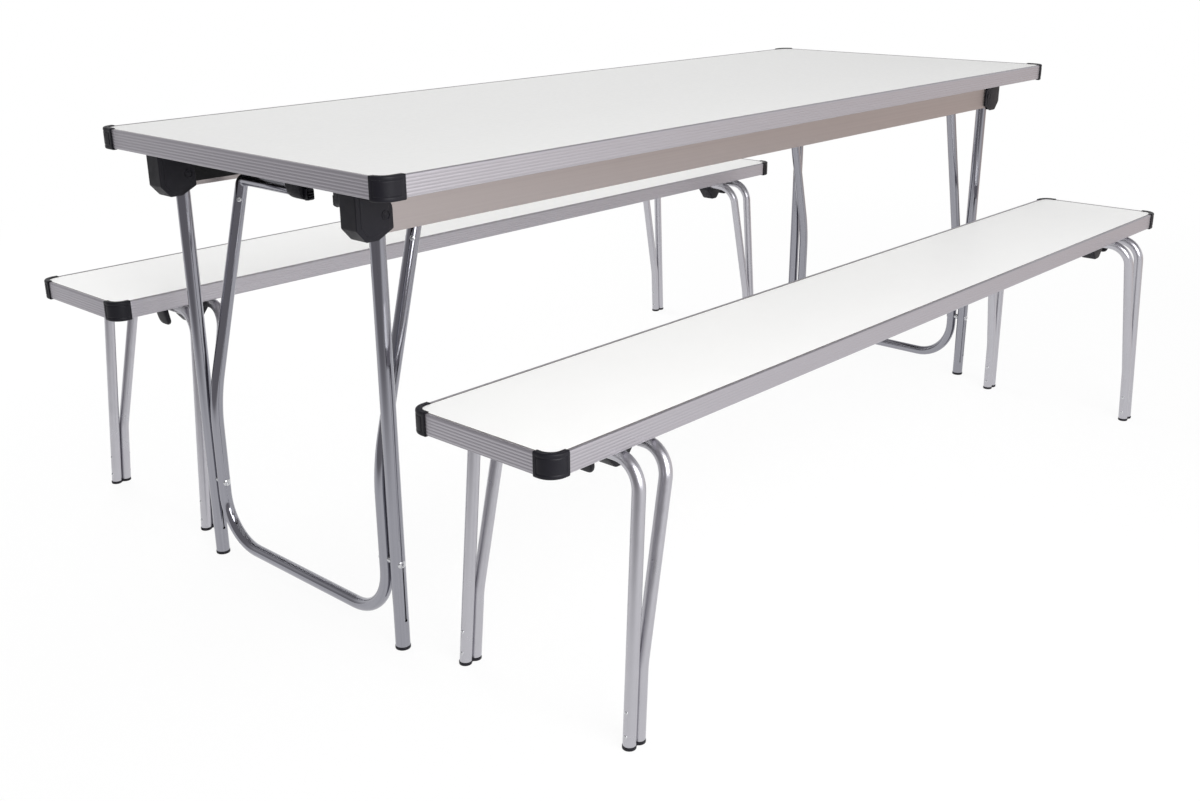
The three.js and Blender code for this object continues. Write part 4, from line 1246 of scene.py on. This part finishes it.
class DINING_OT_braces(bpy.types.Operator):
    """Make the bent braces with their bolts and rivets"""

    bl_idname = "dining.braces"
    bl_label = "Braces"

    def execute(self, context):
        table = context.scene.dining_set.table
        bar = self.bar(table)
        heads = self.heads(table)
        grain = tube_grain(bar)
        for end, sign in ENDS.items():
            node = f"brace_{end}"
            body = f"{end}_brace"
            add_piece(f"chrome_{node}", lofts([bar], sign), "chrome", body, node, grain=grain)
            add_piece(f"brace_bolts_{end}", lofts(heads, sign), "zinc", body)
        return {"FINISHED"}

    def bar(self, table):
        """Tube through the stub, the corner under the board, the easy kink and the stretcher's bend."""
        pivot_x, pivot_z = hinge_of("right_brace_fold")
        leg_x = np.mean(corners_of("leg_far_right"), axis=0)[0]
        half = [
            (pivot_x, table.brace_stub_end, pivot_z),
            (pivot_x, table.brace_half_width, pivot_z),
            (leg_x, table.brace_half_width, table.brace_kink_height),
            (leg_x, table.brace_half_width, table.stretcher_height),
        ]
        path, directions = arch(half, [table.brace_corner, table.brace_kink_radius, table.brace_bend])
        return tube(path, directions, table.brace_diameter / 2)

    def heads(self, table):
        """Pin through each upright and the leg's slot, headed at both ends, and a rivet near the top."""
        low, high = corners_of("leg_far_right")
        pivot_x, pivot_z = hinge_of("right_brace_fold")
        leg_x, leg_y, _ = (low + high) / 2
        leg_radius = (high[1] - low[1]) / 2
        upright = table.brace_half_width
        radius = table.brace_diameter / 2
        level = table.slot_top
        bolt = table.bolt_head / 2
        inner_bolt = 0.93 * bolt
        inner_height, outer_height = 3.2 * MM, 3.4 * MM
        rivet_height, rivet_sunk = 1.6 * MM, 0.6 * MM
        pin_radius, pin_sides = 0.75 * MM, 12
        spacer_radius = 5.5 * MM
        inner_head = upright - radius + 1.6 * MM
        outer_head = leg_y + leg_radius - 2 * MM
        pin_start = upright + radius - 2 * MM
        pin_end = leg_y + leg_radius - 1 * MM
        spacer_end = leg_y - leg_radius + 1.2 * MM
        run = unit(np.array((leg_x - pivot_x, 0, table.brace_kink_height - pivot_z)))
        facing = unit(np.array((0.64, 0.77, 0.16)))
        rings = []
        for side in (-1, 1):
            rings.append(head(inner_bolt, inner_height, (leg_x, side * inner_head, level), (0, -side, 0)))
            rings.append(head(bolt, outer_height, (leg_x, side * outer_head, level), (0, side, 0), sink=0))
            pin = sorted((side * pin_start, side * pin_end))
            rings.append(along_y(slab(circle(pin_radius, pin_sides, (leg_x, level)), *pin)))
            spacer = sorted((side * pin_start, side * spacer_end))
            rings.append(along_y(slab(circle(spacer_radius, HEAD_SIDES, (leg_x, level)), *spacer)))
            spot = np.array((pivot_x, side * upright, pivot_z)) + run * table.rivet_drop
            on_skin = spot + facing * (radius - rivet_sunk)
            rings.append(head(table.rivet_head / 2, rivet_height, on_skin, facing))
        return rings


class DINING_OT_brackets(bpy.types.Operator):
    """Make the pivot brackets under the board and their release tabs"""

    bl_idname = "dining.brackets"
    bl_label = "Pivot brackets"

    def execute(self, context):
        table = context.scene.dining_set.table
        pivot = hinge_of("right_brace_fold")
        low, high = corners_of("pivot_bracket_right")
        top = high[2]
        under = top - 5 * MM
        block_top = top - 2 * MM
        corner, rim = 9 * MM, 1.2 * MM
        inset_x, inset_y = 9 * MM, 12 * MM
        plate = slab(rounded(rectangle(low, high), corner), under, top, rim, 0)
        block = self.block(table, pivot, block_top)
        screws = [
            head(SCREW_RADIUS, SCREW_HEIGHT, (x, y, under), (0, 0, -1))
            for x in (low[0] + inset_x, high[0] - inset_x)
            for y in (low[1] + inset_y, high[1] - inset_y)
        ]
        tab = self.tab(table, pivot)
        for end, sign in ENDS.items():
            node = f"pivot_bracket_{end}"
            parts = [*lofts([plate], sign), *lofts([block], sign, -1), *lofts([block], sign, 1)]
            add_piece(f"brace_bracket_{end}", parts, "plastic", "table_top", node)
            add_piece(f"bracket_screws_{end}", lofts(screws, sign), "zinc", "table_top")
            for side, side_sign in SIDES.items():
                node = f"release_tab_{side}_{end}"
                parts = lofts([tab], sign, sign * side_sign)
                add_piece(f"thumb_tab_{side}_{end}", parts, "plastic", f"{side}_{end}_tab", node)
        return {"FINISHED"}

    def block(self, table, pivot, top):
        """Rings of a block with a blind bore.

        About the bore's axis the outside is a radius that is constant below and follows the two sides and
        the top above. It starts at a blunt inner end with a soft rim. Towards the tube's mouth its
        underside draws in along a quarter of an ellipse, and it then runs back inside as the bore.
        """
        angle = np.linspace(0, 2 * np.pi, TUBE_SIDES, endpoint=False) + np.pi / TUBE_SIDES
        sine, cosine = np.sin(angle), np.cos(angle)
        radius = table.block_radius
        side = radius / np.maximum(np.abs(cosine), TINY)
        lid = (top - pivot[1]) / np.maximum(sine, TINY)
        outside = np.where(sine > 0, np.minimum(side, lid), radius)
        clearance = 0.3 * MM
        bore = np.full_like(outside, table.brace_diameter / 2 + clearance)
        bore_end = table.brace_stub_end - 2 * MM
        flare, flare_depth = 0.6 * MM, 0.8 * MM
        inner, outer = table.block_inner, table.block_outer
        rim = np.array((0, 0.5, 1.6)) * MM
        share = np.array((0.42, 0.3, 0.2, 0.12, 0.06, 0.02, 0))
        slimmest = 0.8
        slim = slimmest + (1 - slimmest) * np.sqrt(1 - (1 - share / share[0]) ** 2)
        fade_start, fade_width = -0.2, 0.6
        fade = np.clip((sine - fade_start) / fade_width, 0, 1)
        rows = [(inner + run, outside - draw) for run, draw in zip(rim, rim[::-1])]
        rows += [(outer - (outer - inner) * s, outside * (k + (1 - k) * fade)) for s, k in zip(share, slim)]
        rows += [(outer, bore + flare), (outer - flare_depth, bore), (bore_end, bore)]
        rings = [
            np.column_stack((pivot[0] + reach * cosine, np.full_like(reach, y), pivot[1] + reach * sine))
            for y, reach in rows
        ]
        return np.stack(rings)

    def tab(self, table, pivot):
        """Ribbed thumb piece: a face that waves as w cos(2 pi n t) from bottom to top, carried across."""
        low, high = corners_of("release_tab_far_right")
        ribs, wave = table.tab_ribs, table.tab_wave
        steps_per_rib = 10
        rim = 0.9 * MM
        edge = 1 * MM
        chamfer = 2 * MM
        gap = 0.4 * MM
        back = table.block_inner - gap
        rise = np.linspace(0, 1, steps_per_rib * ribs + 1)
        front = low[1] + wave - wave * np.cos(2 * np.pi * ribs * (rise - 0.5 / ribs))
        bottom, top = low[2] + edge, high[2] - edge
        face = np.column_stack((front, bottom + (top - bottom) * rise))
        behind = (
            (back - chamfer, high[2]),
            (back, high[2] - chamfer),
            (back, low[2] + chamfer),
            (back - chamfer, low[2]),
        )
        half = table.tab_width / 2
        return along_x(slab(np.concatenate((face, behind)), pivot[0] - half, pivot[0] + half, rim, rim))


class DINING_OT_bench_frames(bpy.types.Operator):
    """Make the benches' hoops, feet and rivets"""

    bl_idname = "dining.bench_frames"
    bl_label = "Bench frames"

    def execute(self, context):
        bench = context.scene.dining_set.bench
        bar = hinge_of("far_bench_right_fold")
        seat_end = corners_of("far_bench_cap_far_right")[1][0]
        hoops = {kind: self.hoop(bench, kind, bar, seat_end) for kind in ("outboard", "inboard")}
        rivets = self.rivets(bench, bar, seat_end)
        foot = self.foot(bench, bar, seat_end)
        for name in BENCHES:
            middle = middle_of(name)
            for end, sign in ENDS.items():
                body = f"{name}_{end}_frame"
                for kind, hoop in hoops.items():
                    node = f"{name}_{kind}_hoop_{end}"
                    parts = lofts([hoop], sign, 1, middle)
                    add_piece(f"{kind}_tube_{name}_{end}", parts, "satin", body, node)
                parts = lofts(rivets, sign, 1, middle)
                add_piece(f"frame_rivets_{name}_{end}", parts, "zinc", body)
                for side, side_sign in SIDES.items():
                    node = f"{name}_foot_{side}_{end}"
                    parts = lofts([foot], sign, sign * side_sign, middle)
                    add_piece(f"twin_foot_{name}_{side}_{end}", parts, "plastic", body, node)
        return {"FINISHED"}

    def leg_line(self, bench, height, bar, seat_end, inboard=0.0):
        """Point at a height on the straight line from an outboard hoop's foot to its corner."""
        share = height / bar[1]
        x = seat_end - bench.foot_inset + share * (bench.foot_inset - bench.outboard_inset) - inboard
        y = (bench.foot_spread + share * (bench.hoop_spread - bench.foot_spread)) / 2
        return np.array((x, y, height))

    def hoop(self, bench, kind, bar, seat_end):
        """Tube from foot to foot over a crossbar, with its two ends cut level on the feet."""
        gap = 0.2 * MM
        floor = bench.foot_height + gap
        if kind == "outboard":
            half = [self.leg_line(bench, z, bar, seat_end) for z in (floor, bar[1])]
            radii = [bench.bend_radius]
        else:
            heights = (floor, bench.kink_height)
            half = [self.leg_line(bench, z, bar, seat_end, bench.pair_pitch) for z in heights]
            half.append(np.array((bar[0], bench.hoop_spread / 2, bar[1])))
            radii = [bench.kink_radius, bench.bend_radius]
        path, directions = arch(half, radii)
        rings = tube(path, directions, bench.tube_diameter / 2)
        for ring, direction in ((rings[0], directions[0]), (rings[-1], directions[-1])):
            ring += direction * ((floor - ring[:, 2:]) / direction[2])
        return rings

    def foot(self, bench, bar, seat_end):
        """Pad under two tubes: round the middle, its outline is the further of two circles or a waist."""
        margin = 0.5 * MM
        waist_share = 0.55
        lower_rim, upper_rim = 1 * MM, 0.6 * MM
        radius = bench.tube_diameter / 2 + margin
        offset = bench.pair_pitch / 2
        half_waist = radius * waist_share
        angle = np.linspace(0, 2 * np.pi, 2 * TUBE_SIDES, endpoint=False)
        sine, cosine = np.abs(np.sin(angle)), np.abs(np.cos(angle))
        lobes = offset * cosine + np.sqrt(np.clip(radius**2 - (offset * sine) ** 2, 0, None))
        waist = np.minimum(half_waist / np.maximum(sine, TINY), offset)
        reach = np.where(offset * sine < radius, np.maximum(lobes, waist), waist)
        outer = self.leg_line(bench, 0.0, bar, seat_end)
        centre = (outer[0] - offset, outer[1])
        outline = np.column_stack((reach * np.cos(angle), reach * np.sin(angle))) + centre
        return slab(outline, 0, bench.foot_height, lower_rim, upper_rim)

    def rivets(self, bench, bar, seat_end):
        """Two rivets through each pair of tubes, with a head on the outer face of either tube."""
        height, sunk = 1.3 * MM, 0.3 * MM
        reach = bench.tube_diameter / 2 - sunk
        rings = []
        for side in (-1, 1):
            for level in (bench.rivet_low, bench.rivet_high):
                outer = self.leg_line(bench, level, bar, seat_end) * (1, side, 1)
                inner = self.leg_line(bench, level, bar, seat_end, bench.pair_pitch) * (1, side, 1)
                rings.append(head(bench.rivet_head / 2, height, outer + X_AXIS * reach, X_AXIS))
                rings.append(head(bench.rivet_head / 2, height, inner - X_AXIS * reach, -X_AXIS))
        return rings


class DINING_OT_saddles(bpy.types.Operator):
    """Make the hinge saddles under the bench seats"""

    bl_idname = "dining.saddles"
    bl_label = "Bench saddles"

    def execute(self, context):
        bench = context.scene.dining_set.bench
        for name in BENCHES:
            middle = middle_of(name)
            low, high = corners_of(f"{name}_saddle_right")
            bar_x, bar_z = hinge_of(f"{name}_right_fold")
            rings = self.saddle(bench, low - middle, high - middle, bar_x - middle[0], bar_z)
            for end, sign in ENDS.items():
                parts = lofts(rings, sign, 1, middle)
                add_piece(f"hinge_saddle_{name}_{end}", parts, "plastic", name, f"{name}_saddle_{end}")
        return {"FINISHED"}

    def saddle(self, bench, low, high, bar_x, bar_z):
        """Two soft boat-shaped blocks round the hinge bar, each with a claw, and the strip between them."""
        top, bottom, inboard = high[2], low[2], low[0]
        outboard = bar_x + bench.boat_reach
        rim = 3 * MM
        edge = 1 * MM
        clearance = 0.2 * MM
        lap = 4 * MM
        strip_start, strip_end = bar_x + 18 * MM, bar_x + 38 * MM
        strip_thickness, strip_corner = 4 * MM, 2 * MM
        boat_corners = (
            (outboard, top),
            (inboard, top),
            (inboard, bar_z - 12 * MM),
            (bar_x + 6 * MM, bottom),
            (bar_x + 24 * MM, bottom),
            (outboard - 8 * MM, bar_z - 22 * MM),
            (outboard, bar_z - 4 * MM),
        )
        boat = rounded(boat_corners, np.array((1, 1, 8, 8, 10, 14, 8)) * MM)
        lid_low = bar_z + bench.tube_diameter / 2 + clearance
        lid_x = np.repeat((outboard - lap, high[0] - edge), 2)
        lid = np.column_stack((lid_x, (top, lid_low, lid_low, top)))
        rings = []
        for side in (-1, 1):
            span = sorted((side * bench.boat_inner, side * bench.boat_outer))
            rings.append(along_y(slab(boat, *span, rim, rim)))
            rings.append(self.claw(bench, (bar_x, bar_z), high[0] - bar_x, top, span))
            rings.append(along_y(slab(lid, span[0] + edge, span[1] - edge)))
        strip = rectangle((strip_start, low[1]), (strip_end, high[1]))
        rings.append(slab(rounded(strip, strip_corner), top - strip_thickness, top, edge, 0))
        return rings

    def claw(self, bench, hinge, outer, top, span):
        """Rings of a claw whose lower edge is full and rounded, like the end of a hull.

        At each station across the block the section lies between two arcs, R cos a and -R sin a about the
        hinge, and ends in half a circle. Its angle follows the fourth root of 1 - t^4, where t runs from -1
        to 1 across the block, and its wall thins in the same way towards both ends.
        """
        stations, arc_steps = 17, 9
        end_sweep, end_wall = 0.3, 0.55
        across = np.sin(np.linspace(-np.pi / 2, np.pi / 2, stations))
        swell = np.clip(1 - across**4, 0, None) ** 0.25
        sweep = bench.claw_sweep * (end_sweep + (1 - end_sweep) * swell)[:, None]
        wall = bench.claw_wall * (end_wall + (1 - end_wall) * swell)[:, None]
        inner = outer - bench.claw_wall
        bend = sweep * np.linspace(0, 1, arc_steps)
        turn = np.linspace(0, np.pi, arc_steps)[None, 1:-1]
        tip_reach = inner + wall / 2 - wall / 2 * np.cos(turn)
        tip_drop = wall / 2 * np.sin(turn)
        root = np.concatenate((inner + wall, np.full_like(wall, inner)), axis=1)
        x = (
            root,
            inner * np.cos(bend),
            tip_reach * np.cos(sweep) - tip_drop * np.sin(sweep),
            (inner + wall) * np.cos(bend[:, ::-1]),
        )
        z = (
            np.full_like(root, top - hinge[1]),
            -inner * np.sin(bend),
            -tip_reach * np.sin(sweep) - tip_drop * np.cos(sweep),
            -(inner + wall) * np.sin(bend[:, ::-1]),
        )
        x = hinge[0] + np.concatenate(x, axis=1)
        z = hinge[1] + np.concatenate(z, axis=1)
        y = (span[0] + span[1] + across * (span[1] - span[0])) / 2
        return np.stack((x, np.broadcast_to(y[:, None], x.shape), z), axis=-1)


class DINING_PT_panel(bpy.types.Panel):
    """Lists the makers of the dining set's pieces"""

    bl_idname = "DINING_PT_panel"
    bl_label = "Dining set"
    bl_space_type = "VIEW_3D"
    bl_region_type = "UI"
    bl_category = "Dining set"

    def draw(self, context):
        for operator in OPERATORS:
            self.layout.operator(operator.bl_idname)


OPERATORS = (
    DINING_OT_stage,
    DINING_OT_boards,
    DINING_OT_edgings,
    DINING_OT_corner_caps,
    DINING_OT_rails,
    DINING_OT_housings,
    DINING_OT_table_legs,
    DINING_OT_braces,
    DINING_OT_brackets,
    DINING_OT_bench_frames,
    DINING_OT_saddles,
)
GROUPS = (
    TrimSettings,
    TableFrameSettings,
    BenchFrameSettings,
    FinishSettings,
    StageSettings,
    DiningSettings,
)
CLASSES = (*GROUPS, *OPERATORS, DINING_PT_panel)


def register():
    for cls in CLASSES:
        bpy.utils.register_class(cls)
    bpy.types.Scene.dining_set = PointerProperty(type=DiningSettings)


def unregister():
    del bpy.types.Scene.dining_set
    for cls in reversed(CLASSES):
        bpy.utils.unregister_class(cls)


def main():
    register()
    bpy.ops.dining.stage()
    bpy.ops.dining.boards()
    bpy.ops.dining.edgings()
    bpy.ops.dining.corner_caps()
    bpy.ops.dining.rails()
    bpy.ops.dining.housings()
    bpy.ops.dining.table_legs()
    bpy.ops.dining.braces()
    bpy.ops.dining.brackets()
    bpy.ops.dining.bench_frames()
    bpy.ops.dining.saddles()


if __name__ == "__main__":
    main()
